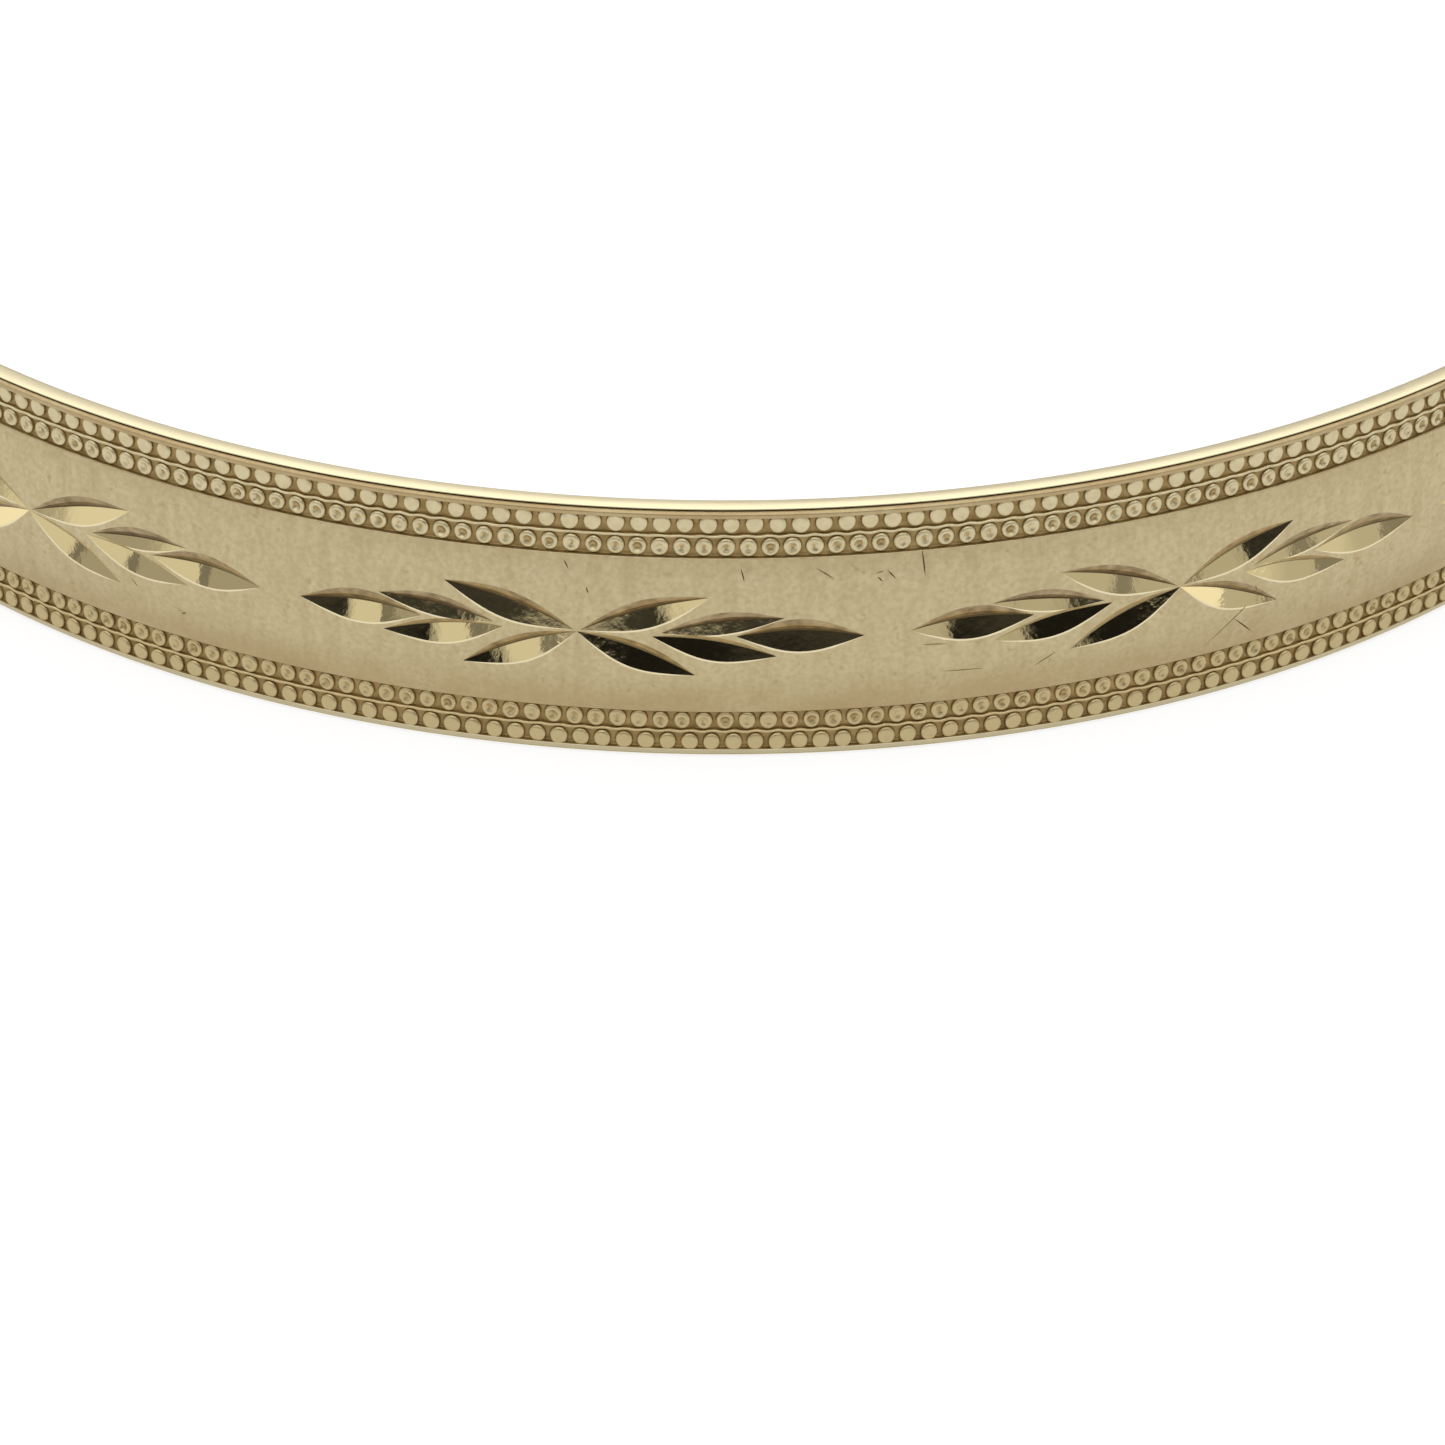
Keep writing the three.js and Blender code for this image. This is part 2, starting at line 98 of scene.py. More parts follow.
# A bead's outline outwards from its middle: radius, height, and share of the dimple's depth.
BEAD_PROFILE = [
    (0.055, 0.0, 0.92),
    (0.1, 0.0, 0.45),
    (0.14, 0.0, 0.0),
    (0.18, -0.008, 0.0),
    (0.217, -0.024, 0.0),
    (0.24, -0.062, 0.0),
    (0.25, -0.17, 0.0),
]
OUTER_DIMPLE = (0.0, 0.022)
INNER_DIMPLE = (0.05, 0.09)
BEAD_SHOULDER = 0.075  # how far down a bead its pale top gives way to the darker flank
BEAD_STRETCH = {1: 1.12, -1: 1.16}  # across the band, on the upper and on the lower border
RIDGE_HALF_WIDTH = 0.042
RIDGE_WAVE = 0.011
RIDGE_STEPS = 1050

SPRAYS_PER_HALF = 6
SPRAY_PITCH = 28.93
SPRAY_SHIFT = 0.33  # degrees towards the clasp
SPRAY_HEIGHT = 0.155
KEEL_SHIFT = 0.03  # of a groove's deepest line, towards its upper edge
LEAF_STATIONS = 26
OVERCUT = 0.12
BURNISH_WIDTH = 0.055
BURNISH_SLOPE = 0.17
# One side of a spray, mirrored for the other. Root and tip are along and across the band.
LEAVES = [
    {"root": (0.08, 0.05), "tip": (3.45, 1.14), "above": 0.43, "below": 0.46, "depth": 0.23},
    {"root": (0.0, 0.0), "tip": (3.09, -1.29), "above": 0.38, "below": 0.50, "depth": 0.24},
    {"root": (2.19, 0.07), "tip": (5.35, 0.53), "above": 0.40, "below": 0.30, "depth": 0.155},
    {"root": (1.95, -0.04), "tip": (5.26, -0.65), "above": 0.30, "below": 0.50, "depth": 0.24},
    {"root": (4.14, -0.01), "tip": (7.50, -0.10), "above": 0.53, "below": 0.53, "depth": 0.26},
]
HAIRLINE = {"above": 0.022, "below": 0.022, "depth": 0.05}
# Scratches on the front half: degrees round the ring, then each end along and across the band.
SCRATCHES = [
    (14.8, (0.9, -2.3), (2.5, -0.85)),
    (14.8, (1.75, -1.5), (2.45, -2.2)),
    (14.8, (2.55, -1.0), (2.3, -0.55)),
    (14.8, (-7.2, -0.55), (-6.4, -0.6)),
    (14.8, (-6.6, -1.5), (-5.4, -1.55)),
    (14.8, (-4.1, -1.75), (-3.4, -1.3)),
    (14.8, (-7.2, 2.35), (-7.1, 1.5)),
    (-14.14, (7.75, 1.7), (8.0, 1.78)),
    (-14.14, (8.05, 1.8), (8.3, 1.5)),
    (-14.14, (7.8, 1.62), (7.95, 1.45)),
    (-14.14, (6.2, 1.95), (6.7, 1.6)),
    (-14.14, (4.25, 2.0), (4.35, 1.6)),
    (-14.14, (0.25, 1.35), (0.3, 1.15)),
    (-14.14, (-0.35, 2.1), (-0.2, 1.8)),
    (-43.07, (3.4, -1.0), (3.6, -1.25)),
    (-43.07, (4.9, -1.7), (5.1, -1.6)),
]

HINGE_X = -OUTER_RADIUS
KNUCKLE_RADIUS = 0.9
KNUCKLE_BORE = 0.46
SEAT_RADIUS = 0.97
ROUND_SIDES = 64

# Inner, outer and top are distances from the hinge's axis. Root, tip, fold, free, start and end
# are arcs about it, past the parting plane.
BLADE = {"inner": 62.38, "outer": 62.62, "root": -0.65, "tip": 5.2, "half_height": 1.2}
FOLD = {"outer": 62.87, "start": 4.96}
LEAF = {"thickness": 0.2, "fold_inner": 62.67, "free_inner": 63.1, "fold": 4.9, "free": 0.72}
LEAF_HALF_HEIGHT = 1.1
SLOT_CLEARANCE = 0.05
NOTCH = {"end": 1.85, "half_height": 0.75}
TAB = {"start": 0.75, "end": 1.6, "top": 64.5, "half_height": 0.6}
GRIP = {"angles": (48, 74, 106, 132), "depth": 0.05, "half_width": 0.045}

WIRE_RADIUS = 0.22

# How the light of the tent's walls changes between two azimuths from the camera's, in degrees.
WALL_LIGHT = [
    (-31, -34, 0.28),
    (-46, -48, -0.55),
    (-51, -53, 0.2),
    (-70, -80, 0.45),
    (38, 41, 0.05),
    (50, 52, -0.27),
    (57, 59, 0.3),
    (70, 84, 0.19),
]

# The rest of the tent. Each fade rises from 0 to 1 between two angles in degrees.
WALL_LEVEL = 0.5
OVERHEAD_LEVEL = 1.6
OVERHEAD_FADE = (27, 38)
OPENING_SIDES = ((-31, -28), (37, 34))
OPENING_HEIGHTS = ((2.5, 5), (27, 22))
OPENING_DARKNESS = 0.975
GLOW_FADE = (14, 20)  # the opening's upper part is a little lighter
GLOW_LEVEL = 0.07
FLOOR_TONE = 0.28
FLOOR_GLOW = 0.76

CAMERA_AZIMUTH = -7.6  # degrees from the front, towards the hinge
CAMERA_DISTANCE = 4.0169  # from the ring's axis, in outer radii
CAMERA_HEIGHT = 2.045  # above the middle of the width, in outer radii
CAMERA_PITCH = 35.166
CAMERA_YAW = -0.088
CAMERA_ROLL = 0.276
CAMERA_LENS = 112.1


# ---- Curves of the cross-section ----


def face_radius(z):
    """The outer face: crowned across the field, and level under the borders."""
    height = np.minimum(np.abs(z), FIELD_EDGE)
    return OUTER_RADIUS - CROWN_RADIUS + np.sqrt(CROWN_RADIUS**2 - height**2)


BORDER_RADIUS = float(face_radius(FIELD_EDGE))
STRIP_EDGE = HALF_WIDTH - FLANGE - SOLDER_GAP
BULGE_SAG = RIM_INNER - BORE_RADIUS
BULGE_HALF = HALF_WIDTH - CORNER
BULGE_RADIUS = (BULGE_HALF**2 + BULGE_SAG**2) / (2 * BULGE_SAG)


def bulge(z, offset):
    """The shell's face towards the wrist, or a face that many millimetres behind it."""
    return BORE_RADIUS + BULGE_RADIUS - math.sqrt((BULGE_RADIUS - offset) ** 2 - z**2)


def mirrored(upper):
    """The upper half of a profile and its mirror image, as one list of (radius, height)."""
    lower = [(r, -z) for r, z in reversed(upper) if z != 0]
    return lower + upper


def round_corner(centre, radius, start, end, steps=5):
    """Points on an arc between two angles in degrees."""
    angles = np.radians(np.linspace(start, end, steps + 1))
    return [(centre[0] + radius * math.cos(a), centre[1] + radius * math.sin(a)) for a in angles]


def strip_section():
    """The outer strip: a domed field, a sunk channel along each border, and a thin lip."""
    field = [(float(face_radius(z)), z) for z in np.linspace(0, FIELD_EDGE - EDGE_ROUND, 9)]
    channel = []
    for edge, towards in ((FIELD_EDGE, 1), (CHANNEL_TOP, -1)):
        surface = BORDER_RADIUS
        rounded = [
            (surface - EDGE_ROUND * 0.12, edge - towards * EDGE_ROUND * 0.5),
            (surface - EDGE_ROUND * 0.45, edge - towards * EDGE_ROUND * 0.12),
            (surface - EDGE_ROUND, edge),
            (surface - CHANNEL_DEPTH + 0.02, edge + towards * 0.02),
            (surface - CHANNEL_DEPTH, edge + towards * 0.05),
        ]
        channel += rounded if towards > 0 else rounded[::-1]
    drops = LIP_DROPS + [(LIP_EDGE_DROP, STRIP_EDGE)]
    lip = [(BORDER_RADIUS - drop, z) for drop, z in drops]
    outside = mirrored(field + channel + lip)
    inside = mirrored([(float(face_radius(z)) - STRIP_WALL, z) for z in (0, 1.2, 2.4, STRIP_EDGE)])
    return outside + inside[::-1]


def shell_section():
    """The inner shell: a wall that bulges towards the wrist, with turned-up polished rims."""
    shoulder = bulge(SHELL_SHOULDER, SHELL_WALL)
    wrist = [(bulge(z, 0), z) for z in np.linspace(0, HALF_WIDTH - 0.11, 16)]
    rounding = (RIM_INNER + RIM_ROUND + 0.01, HALF_WIDTH - RIM_ROUND)
    wrist += round_corner(rounding, RIM_ROUND, 148, 90)
    wrist += round_corner((RIM_OUTER - CORNER, HALF_WIDTH - CORNER), CORNER, 90, 0)
    foot = HALF_WIDTH - FLANGE
    wrist.append((RIM_OUTER - 0.01, foot + 0.012))
    hollow = [(bulge(z, SHELL_WALL), z) for z in np.linspace(0, BLOCK_HALF_HEIGHT, 8)]
    hollow += [(shoulder, SHELL_SHOULDER), (shoulder, foot), (RIM_OUTER - FLANGE_STEP, foot)]
    return mirrored(wrist)[::-1] + mirrored(hollow)


def block_section():
    """What fills the hollow between strip and shell, for the hinge blocks and clasp plates."""
    heights = np.linspace(0, BLOCK_HALF_HEIGHT, 7)
    outside = mirrored([(float(face_radius(z)) - STRIP_WALL - BLOCK_GAP, z) for z in heights])
    inside = mirrored([(bulge(z, SHELL_WALL) + BLOCK_GAP, z) for z in heights])
    return outside + inside[::-1]


# ---- Mesh helpers ----


def on_ring(side, degrees, radius, z):
    """Side is -1 on the front half, 1 on the back. Angles run from the hinge, -90, to the clasp."""
    angle = np.radians(degrees)
    return np.stack(
        np.broadcast_arrays(radius * np.sin(angle), side * radius * np.cos(angle), z),
        axis=-1,
    )


def make_object(name, points, faces, materials, smooth_angle=30.0):
    """A mesh object from points in millimetres about the middle of the width."""
    points = np.asarray(points, float) + (0, 0, HALF_WIDTH)
    mesh = bpy.data.meshes.new(name)
    mesh.from_pydata((points * MM).tolist(), [], faces)
    mesh.validate()
    obj = bpy.data.objects.new(name, mesh)
    bpy.context.scene.collection.objects.link(obj)
    for material in materials:
        mesh.materials.append(material)
    finish_mesh(obj, smooth_angle)
    return obj


def finish_mesh(obj, smooth_angle):
    """Faces point outwards, and edges sharper than the angle stay sharp."""
    work = bmesh.new()
    work.from_mesh(obj.data)
    bmesh.ops.recalc_face_normals(work, faces=work.faces)
    limit = math.radians(smooth_angle)
    for face in work.faces:
        face.smooth = True
    for edge in work.edges:
        edge.smooth = edge.calc_face_angle(0.0) < limit
    work.to_mesh(obj.data)
    work.free()


def middle_of(polygon):
    """The radius and the height of a face's middle, in millimetres."""
    x, y, z = (c / MM for c in polygon.center)
    return math.hypot(x, y), z - HALF_WIDTH


def swept_faces(steps, count):
    """Faces round a closed outline of count points repeated steps times, with both ends closed."""
    faces = []
    for i in range(steps):
        for j in range(count):
            a = i * count + j
            b = i * count + (j + 1) % count
            faces.append((a, b, b + count, a + count))
    faces.append(tuple(range(count))[::-1])
    faces.append(tuple(range(steps * count, (steps + 1) * count)))
    return faces


def ring_sweep(section, side, start, end, steps):
    """Points and faces of a closed section swept round the ring between two angles."""
    section = np.array(section)
    angles = np.linspace(start, end, steps + 1)[:, None]
    points = on_ring(side, angles, section[:, 0], section[:, 1]).reshape(-1, 3)
    return points, swept_faces(steps, len(section))


def boolean(obj, cutter, operation="DIFFERENCE"):
    """Cuts or joins obj with cutter, then removes the cutter."""
    modifier = obj.modifiers.new("cut", "BOOLEAN")
    modifier.operation = operation
    modifier.solver = "MANIFOLD"
    modifier.object = cutter
    bpy.context.view_layer.update()
    graph = bpy.context.evaluated_depsgraph_get()
    result = bpy.data.meshes.new_from_object(obj.evaluated_get(graph))
    obj.modifiers.remove(modifier)
    obj.data = result
    bpy.data.objects.remove(cutter)


def turned(name, profile, centre=(0.0, 0.0), materials=(), sides=ROUND_SIDES, smooth_angle=30.0):
    """A profile of (radius, height) turned about an upright axis; it starts and ends on the axis,
    or closes on itself where it doesn't touch the axis."""
    on_axis = profile[0][0] == 0
    points = []
    rows = []
    for r, z in profile:
        if r == 0:
            rows.append([len(points)] * sides)
            points.append((centre[0], centre[1], z))
            continue
        rows.append(list(range(len(points), len(points) + sides)))
        for k in range(sides):
            a = 2 * math.pi * k / sides
            points.append((centre[0] + r * math.cos(a), centre[1] + r * math.sin(a), z))
    pairs = list(zip(rows, rows[1:]))
    if not on_axis:
        pairs.append((rows[-1], rows[0]))
    faces = []
    for low, high in pairs:
        for k in range(sides):
            m = (k + 1) % sides
            ring = [low[k], low[m], high[m], high[k]]
            faces.append(tuple(dict.fromkeys(ring)))
    faces = [face for face in faces if len(face) > 2]
    return make_object(name, points, faces, materials, smooth_angle)


def about_hinge(distance, along):
    """A point given by its distance from the hinge axis and its arc past the parting plane."""
    angle = -along / distance
    return HINGE_X + distance * math.cos(angle), distance * math.sin(angle)


def hinge_plate(name, outline, half_height, materials, bevel=0.0):
    """A flat outline in hinge coordinates, as a plate of that half height."""
    flat = [about_hinge(*p) for p in outline]
    count = len(flat)
    points = [(x, y, z) for z in (-half_height, half_height) for x, y in flat]
    faces = [tuple(range(count))[::-1], tuple(range(count, 2 * count))]
    for k in range(count):
        m = (k + 1) % count
        faces.append((k, m, m + count, k + count))
    obj = make_object(name, points, faces, materials)
    if bevel:
        bevel_edges(obj, bevel)
    return obj


def bevel_edges(obj, width, segments=3, angle=35.0):
    """Rounds the sharp edges by that many millimetres."""
    modifier = obj.modifiers.new("bevel", "BEVEL")
    modifier.width = width * MM
    modifier.segments = segments
    modifier.limit_method = "ANGLE"
    modifier.angle_limit = math.radians(angle)
    graph = bpy.context.evaluated_depsgraph_get()
    result = bpy.data.meshes.new_from_object(obj.evaluated_get(graph))
    obj.modifiers.remove(modifier)
    obj.data = result
    finish_mesh(obj, angle)


def arc_band(start, end, inner, outer, steps=12):
    """Two edges of a curved strip, from one end to the other and back."""
    share = np.linspace(0, 1, steps + 1)
    along = start + (end - start) * share
    low = inner[0] + (inner[1] - inner[0]) * share
    high = outer[0] + (outer[1] - outer[0]) * share
    return list(zip(low, along)) + list(zip(high, along))[::-1]


# ---- Materials ----


def new_material(name, color, roughness):
    material = bpy.data.materials.new(name)
    material.use_nodes = True
    shader = material.node_tree.nodes["Principled BSDF"]
    shader.inputs["Metallic"].default_value = 1.0
    shader.inputs["Base Color"].default_value = (*color, 1.0)
    shader.inputs["Roughness"].default_value = roughness
    return material, shader


def add_node(material, kind, **inputs):
    node = material.node_tree.nodes.new(kind)
    for key, value in inputs.items():
        node.inputs[key.replace("_", " ")].default_value = value
    return node


def noise(material, scale, detail=3.0, stretch=(1, 1, 1)):
    """Noise on the object's own coordinates. The scale is in features per millimetre."""
    links = material.node_tree.links
    place = material.node_tree.nodes.new("ShaderNodeTexCoord")
    mapping = material.node_tree.nodes.new("ShaderNodeMapping")
    mapping.inputs["Scale"].default_value = [s * 1000.0 for s in stretch]
    links.new(place.outputs["Object"], mapping.inputs["Vector"])
    texture = add_node(material, "ShaderNodeTexNoise", Scale=scale, Detail=detail)
    links.new(mapping.outputs["Vector"], texture.inputs["Vector"])
    return texture.outputs["Fac"]


def remap(material, value, low, high, start=0.3, end=0.7):
    """Value's usual span, start to end, stretched onto low to high."""
    node = material.node_tree.nodes.new("ShaderNodeMapRange")
    node.inputs["From Min"].default_value = start
    node.inputs["From Max"].default_value = end
    node.inputs["To Min"].default_value = low
    node.inputs["To Max"].default_value = high
    material.node_tree.links.new(value, node.inputs["Value"])
    return node.outputs["Result"]


def blend_color(material, share, first, second):
    node = material.node_tree.nodes.new("ShaderNodeMix")
    node.data_type = "RGBA"
    for key, color in (("A", first), ("B", second)):
        if isinstance(color, tuple):
            node.inputs[key].default_value = (*color, 1.0)
        else:
            material.node_tree.links.new(color, node.inputs[key])
    material.node_tree.links.new(share, node.inputs["Factor"])
    return node.outputs["Result"]


def bump(material, shader, height, distance, strength=1.0):
    node = material.node_tree.nodes.new("ShaderNodeBump")
    node.inputs["Distance"].default_value = distance * MM
    node.inputs["Strength"].default_value = strength
    links = material.node_tree.links
    links.new(height, node.inputs["Height"])
    if shader.inputs["Normal"].is_linked:
        links.new(shader.inputs["Normal"].links[0].from_socket, node.inputs["Normal"])
    links.new(node.outputs["Normal"], shader.inputs["Normal"])


GOLD = (0.60, 0.505, 0.29)
GOLD_WARM = (0.545, 0.45, 0.245)
GOLD_PALE = (0.72, 0.63, 0.41)
SATIN_GOLD = (0.52, 0.44, 0.262)
SATIN_DEEP = (0.465, 0.385, 0.22)
# The brown of the streaks and specks, and also the painted shade by the borders.
SATIN_BROWN_AND_SHADE = (0.385, 0.28, 0.14)
BEAD_PALE = (0.60, 0.525, 0.33)
BEAD_DEEP = (0.54, 0.455, 0.27)
# Painted shade for the lower border's beads.
BEAD_LOW_SHADE = (0.50, 0.395, 0.205)
BEAD_SIDE = (0.42, 0.315, 0.15)
LIP_TONE = (0.50, 0.435, 0.28)
EDGE_TONE = (0.44, 0.36, 0.21)
HARDWARE_TONE = (0.66, 0.55, 0.31)
CUT_TONE = (0.80, 0.655, 0.345)
# Painted shade on the cuts' upper walls, deepening to the keel.
WALL_SHADE_TONE = (0.42, 0.32, 0.18)
WALL_DEEP_SHADE = (0.20, 0.14, 0.07)
KEEL_SHADE_TONE = (0.065, 0.042, 0.02)
PATINA = (0.37, 0.265, 0.115)
PATINA_DARK = (0.24, 0.16, 0.06)


def share_between(owner, value, start, end):
    """0 where value is at start and 1 where it is at end, smooth between them."""
    node = owner.node_tree.nodes.new("ShaderNodeMapRange")
    node.interpolation_type = "SMOOTHSTEP"
    node.inputs["From Min"].default_value = start
    node.inputs["From Max"].default_value = end
    owner.node_tree.links.new(value, node.inputs["Value"])
    return node.outputs["Result"]


def math_node(owner, operation, *values):
    """One step of arithmetic, on numbers and sockets."""
    node = owner.node_tree.nodes.new("ShaderNodeMath")
    node.operation = operation
    for socket, value in zip(node.inputs, values):
        if isinstance(value, (int, float)):
            socket.default_value = value
        else:
            owner.node_tree.links.new(value, socket)
    return node.outputs[0]


def multiply(owner, *values):
    return math_node(owner, "MULTIPLY", *values)


def height_share(material, start, end):
    """A share that follows the height above the middle of the band, between two heights."""
    place = material.node_tree.nodes.new("ShaderNodeTexCoord")
    split = material.node_tree.nodes.new("ShaderNodeSeparateXYZ")
    material.node_tree.links.new(place.outputs["Object"], split.inputs["Vector"])
    low, high = (HALF_WIDTH + start) * MM, (HALF_WIDTH + end) * MM
    return share_between(material, split.outputs["Z"], low, high)


def vary_roughness(material, shader, value, low, high):
    """Roughness that wanders between two levels with a noise."""
    wander = remap(material, value, low, high)
    material.node_tree.links.new(wander, shader.inputs["Roughness"])


def satin_gold():
    """The brushed field: a fine grain, faint upright streaks, and painted shade: a warmer tone by
    the borders.
    """
    material, shader = new_material("satin_gold", SATIN_GOLD, 0.4)
    links = material.node_tree.links
    grain = remap(material, noise(material, 7.0, 5.0), -0.4, 1.4)
    color = blend_color(material, grain, SATIN_GOLD, SATIN_DEEP)
    streaks = remap(material, noise(material, 2.6, 3.0, (1, 1, 0.16)), 0.0, 0.36, 0.45, 0.75)
    color = blend_color(material, streaks, color, SATIN_BROWN_AND_SHADE)
    specks = remap(material, noise(material, 3.5, 3.0), 0.0, 0.6, 0.64, 0.74)
    color = blend_color(material, specks, color, SATIN_BROWN_AND_SHADE)
    painted_shade_patches = remap(material, noise(material, 0.45, 4.0, (1, 1, 1.6)), 0.4, 1.0)
    # Painted shade: browner patches below the middle, over the upper lip, and faintly towards the
    # upper border.
    for start, end, strength in ((-0.9, -2.3, 0.85), (1.7, 2.45, 0.3), (3.5, 3.62, 0.85)):
        share = multiply(material, height_share(material, start, end), painted_shade_patches)
        color = blend_color(material, multiply(material, share, strength), color, SATIN_BROWN_AND_SHADE)
    links.new(color, shader.inputs["Base Color"])
    vary_roughness(material, shader, noise(material, 5.0, 4.0, (1, 1, 0.5)), 0.33, 0.46)
    bump(material, shader, noise(material, 10.0, 4.0, (1, 1, 0.6)), 0.006)
    bump(material, shader, noise(material, 2.2, 2.0), 0.006)
    return material


def bead_gold():
    """Milgrain, pale on its tops, with painted shade that makes it darker and warmer on the lower
    border.
    """
    material, shader = new_material("bead_gold", BEAD_PALE, 0.36)
    links = material.node_tree.links
    tops = blend_color(material, remap(material, noise(material, 4.0), 0, 1), BEAD_PALE, BEAD_DEEP)
    # Painted shade: the lower border's beads turn darker and warmer.
    low = multiply(material, height_share(material, -1.0, -2.0), 0.85)
    links.new(blend_color(material, low, tops, BEAD_LOW_SHADE), shader.inputs["Base Color"])
    vary_roughness(material, shader, noise(material, 6.0), 0.32, 0.46)
    bump(material, shader, noise(material, 8.0, 2.0), 0.012)
    return material


def channel_gold():
    """The floor of the borders, where tarnish and polish have settled between the beads."""
    material, shader = new_material("channel_gold", PATINA, 0.5)
    links = material.node_tree.links
    settled = remap(material, noise(material, 3.0, 4.0), 0, 1)
    links.new(blend_color(material, settled, PATINA, PATINA_DARK), shader.inputs["Base Color"])
    vary_roughness(material, shader, noise(material, 5.0), 0.4, 0.6)
    return material


def polished_gold(name, color=GOLD_PALE, roughness=0.12):
    """High polish with the faint haze and hairlines of wear."""
    material, shader = new_material(name, color, roughness)
    haze = noise(material, 1.5, 4.0, (1, 1, 3))
    vary_roughness(material, shader, haze, roughness * 0.7, roughness * 1.5)
    bump(material, shader, noise(material, 1.2, 2.0), 0.004)
    return material


def cut_gold():
    """Mirror walls left by the graver, with a trace of its chatter."""
    material, shader = new_material("cut_gold", CUT_TONE, 0.05)
    vary_roughness(material, shader, noise(material, 6.0, 2.0), 0.03, 0.09)
    bump(material, shader, noise(material, 3.0, 3.0), 0.006)
    return material


def wall_gold(name, color, deep, roughness):
    """A dark tone, torn a little by the graver: painted shade on the upper walls of the cuts, and
    the beads' darker flanks.
    """
    material, shader = new_material(name, color, roughness)
    links = material.node_tree.links
    blotches = remap(material, noise(material, 3.0, 3.0), 0, 1)
    links.new(blend_color(material, blotches, color, deep), shader.inputs["Base Color"])
    bump(material, shader, noise(material, 6.0, 3.0), 0.008)
    return material


SATIN = satin_gold()
BEAD = bead_gold()
SIDE = wall_gold("bead_side_gold", BEAD_SIDE, PATINA, 0.4)
CHANNEL = channel_gold()
CUT = cut_gold()
# Painted shade in the cuts: the upper wall, its deeper facet, and the keel.
WALL_SHADE = wall_gold("wall_gold", WALL_SHADE_TONE, WALL_DEEP_SHADE, 0.3)
DEEP_WALL_SHADE = wall_gold("deep_wall_shade_gold", WALL_DEEP_SHADE, KEEL_SHADE_TONE, 0.3)
KEEL_SHADE = wall_gold("keel_shade_gold", KEEL_SHADE_TONE, KEEL_SHADE_TONE, 0.35)
POLISH = polished_gold("polished_gold")
BURNISHED = polished_gold("burnished_gold", GOLD_PALE, 0.22)
EDGE = polished_gold("worn_edge_gold", EDGE_TONE, 0.25)
LIP = polished_gold("lip_gold", LIP_TONE, 0.3)
HARDWARE = polished_gold("hardware_gold", HARDWARE_TONE, 0.16)
STRIP_MATERIALS = [SATIN, CHANNEL, CUT, BURNISHED, WALL_SHADE, DEEP_WALL_SHADE, KEEL_SHADE, LIP]
CHANNEL_SLOT, CUT_SLOT, BURNISHED_SLOT = 1, 2, 3
WALL_SLOT, DEEP_WALL_SLOT, KEEL_SLOT, LIP_SLOT = 4, 5, 6, 7
INNER = polished_gold("inner_gold", GOLD, 0.2)
SPRING = polished_gold("spring_gold", GOLD_WARM, 0.28)


# ---- Outer strips ----


def leaf_cutter(side, spray_angle, leaf, mirror):
    """Points, faces and finishes of a cutter for one leaf: a groove pointed at both ends. Its
    upper wall is rounded and dull, with painted shade that darkens towards the keel; its lower
    wall is a flat mirror, its lower edge burnished over."""
    root, tip = np.array(leaf["root"]), np.array(leaf["tip"])
    length = np.linalg.norm(tip - root)
    across = np.array([-(tip - root)[1], (tip - root)[0]]) / length

    def surface_point(t, offset, lift):
        s, z = root + (tip - root) * t + across * offset
        z += SPRAY_HEIGHT
        angle = spray_angle + math.degrees(mirror * s / OUTER_RADIUS)
        return on_ring(side, angle, float(face_radius(z)) + lift, z)

    points = [surface_point(0, 0, 0.004)]
    for i in range(1, LEAF_STATIONS):
        t = 0.5 - 0.5 * math.cos(math.pi * i / LEAF_STATIONS)
        swell = math.sin(math.pi * t)
        keel = KEEL_SHIFT * swell
        above = leaf["above"] * swell - keel
        below = leaf["below"] * swell + keel
        depth = leaf["depth"] * swell
        burnish = min(BURNISH_WIDTH, 0.15 * below)
        points += [
            surface_point(t, keel + above * (1 + OVERCUT), depth * OVERCUT * 0.6),
            surface_point(t, keel + above * 0.5, -depth * 0.42),
            surface_point(t, keel + above * 0.2, -depth * 0.8),
            surface_point(t, keel, -depth),
            surface_point(t, keel - below + burnish, -burnish * BURNISH_SLOPE),
            surface_point(t, keel - below - burnish, burnish * BURNISH_SLOPE),
            surface_point(t, keel, depth * OVERCUT + 0.03),
        ]
    points.append(surface_point(1, 0, 0.004))
    last = len(points) - 1
    sides = 7
    # Painted shade on the upper wall, deepening in two steps to the keel; then the mirror wall and
    # the burnished edge.
    walls = [WALL_SLOT, DEEP_WALL_SLOT, KEEL_SLOT, CUT_SLOT]
    walls += [BURNISHED_SLOT, BURNISHED_SLOT, WALL_SLOT]
    faces, finishes = [], []
    for k in range(sides):
        m = (k + 1) % sides
        faces.append((0, 1 + k, 1 + m))
        faces.append((last, last - sides + m, last - sides + k))
        for i in range(LEAF_STATIONS - 2):
            a = 1 + sides * i
            faces.append((a + k, a + sides + k, a + sides + m, a + m))
        finishes += [leaf.get("finish", walls[k])] * LEAF_STATIONS
    return points, faces, finishes


def cut_grooves(strip, grooves):
    """Cuts a list of (points, faces, finishes) that don't overlap each other."""
    points, faces, finishes = [], [], []
    for more_points, more_faces, more_finishes in grooves:
        faces += [tuple(v + len(points) for v in face) for face in more_faces]
        points += more_points
        finishes += more_finishes
    cutter = make_object("groove_cutter", points, faces, STRIP_MATERIALS)
    for polygon, finish in zip(cutter.data.polygons, finishes):
        polygon.material_index = finish
    boolean(strip, cutter)


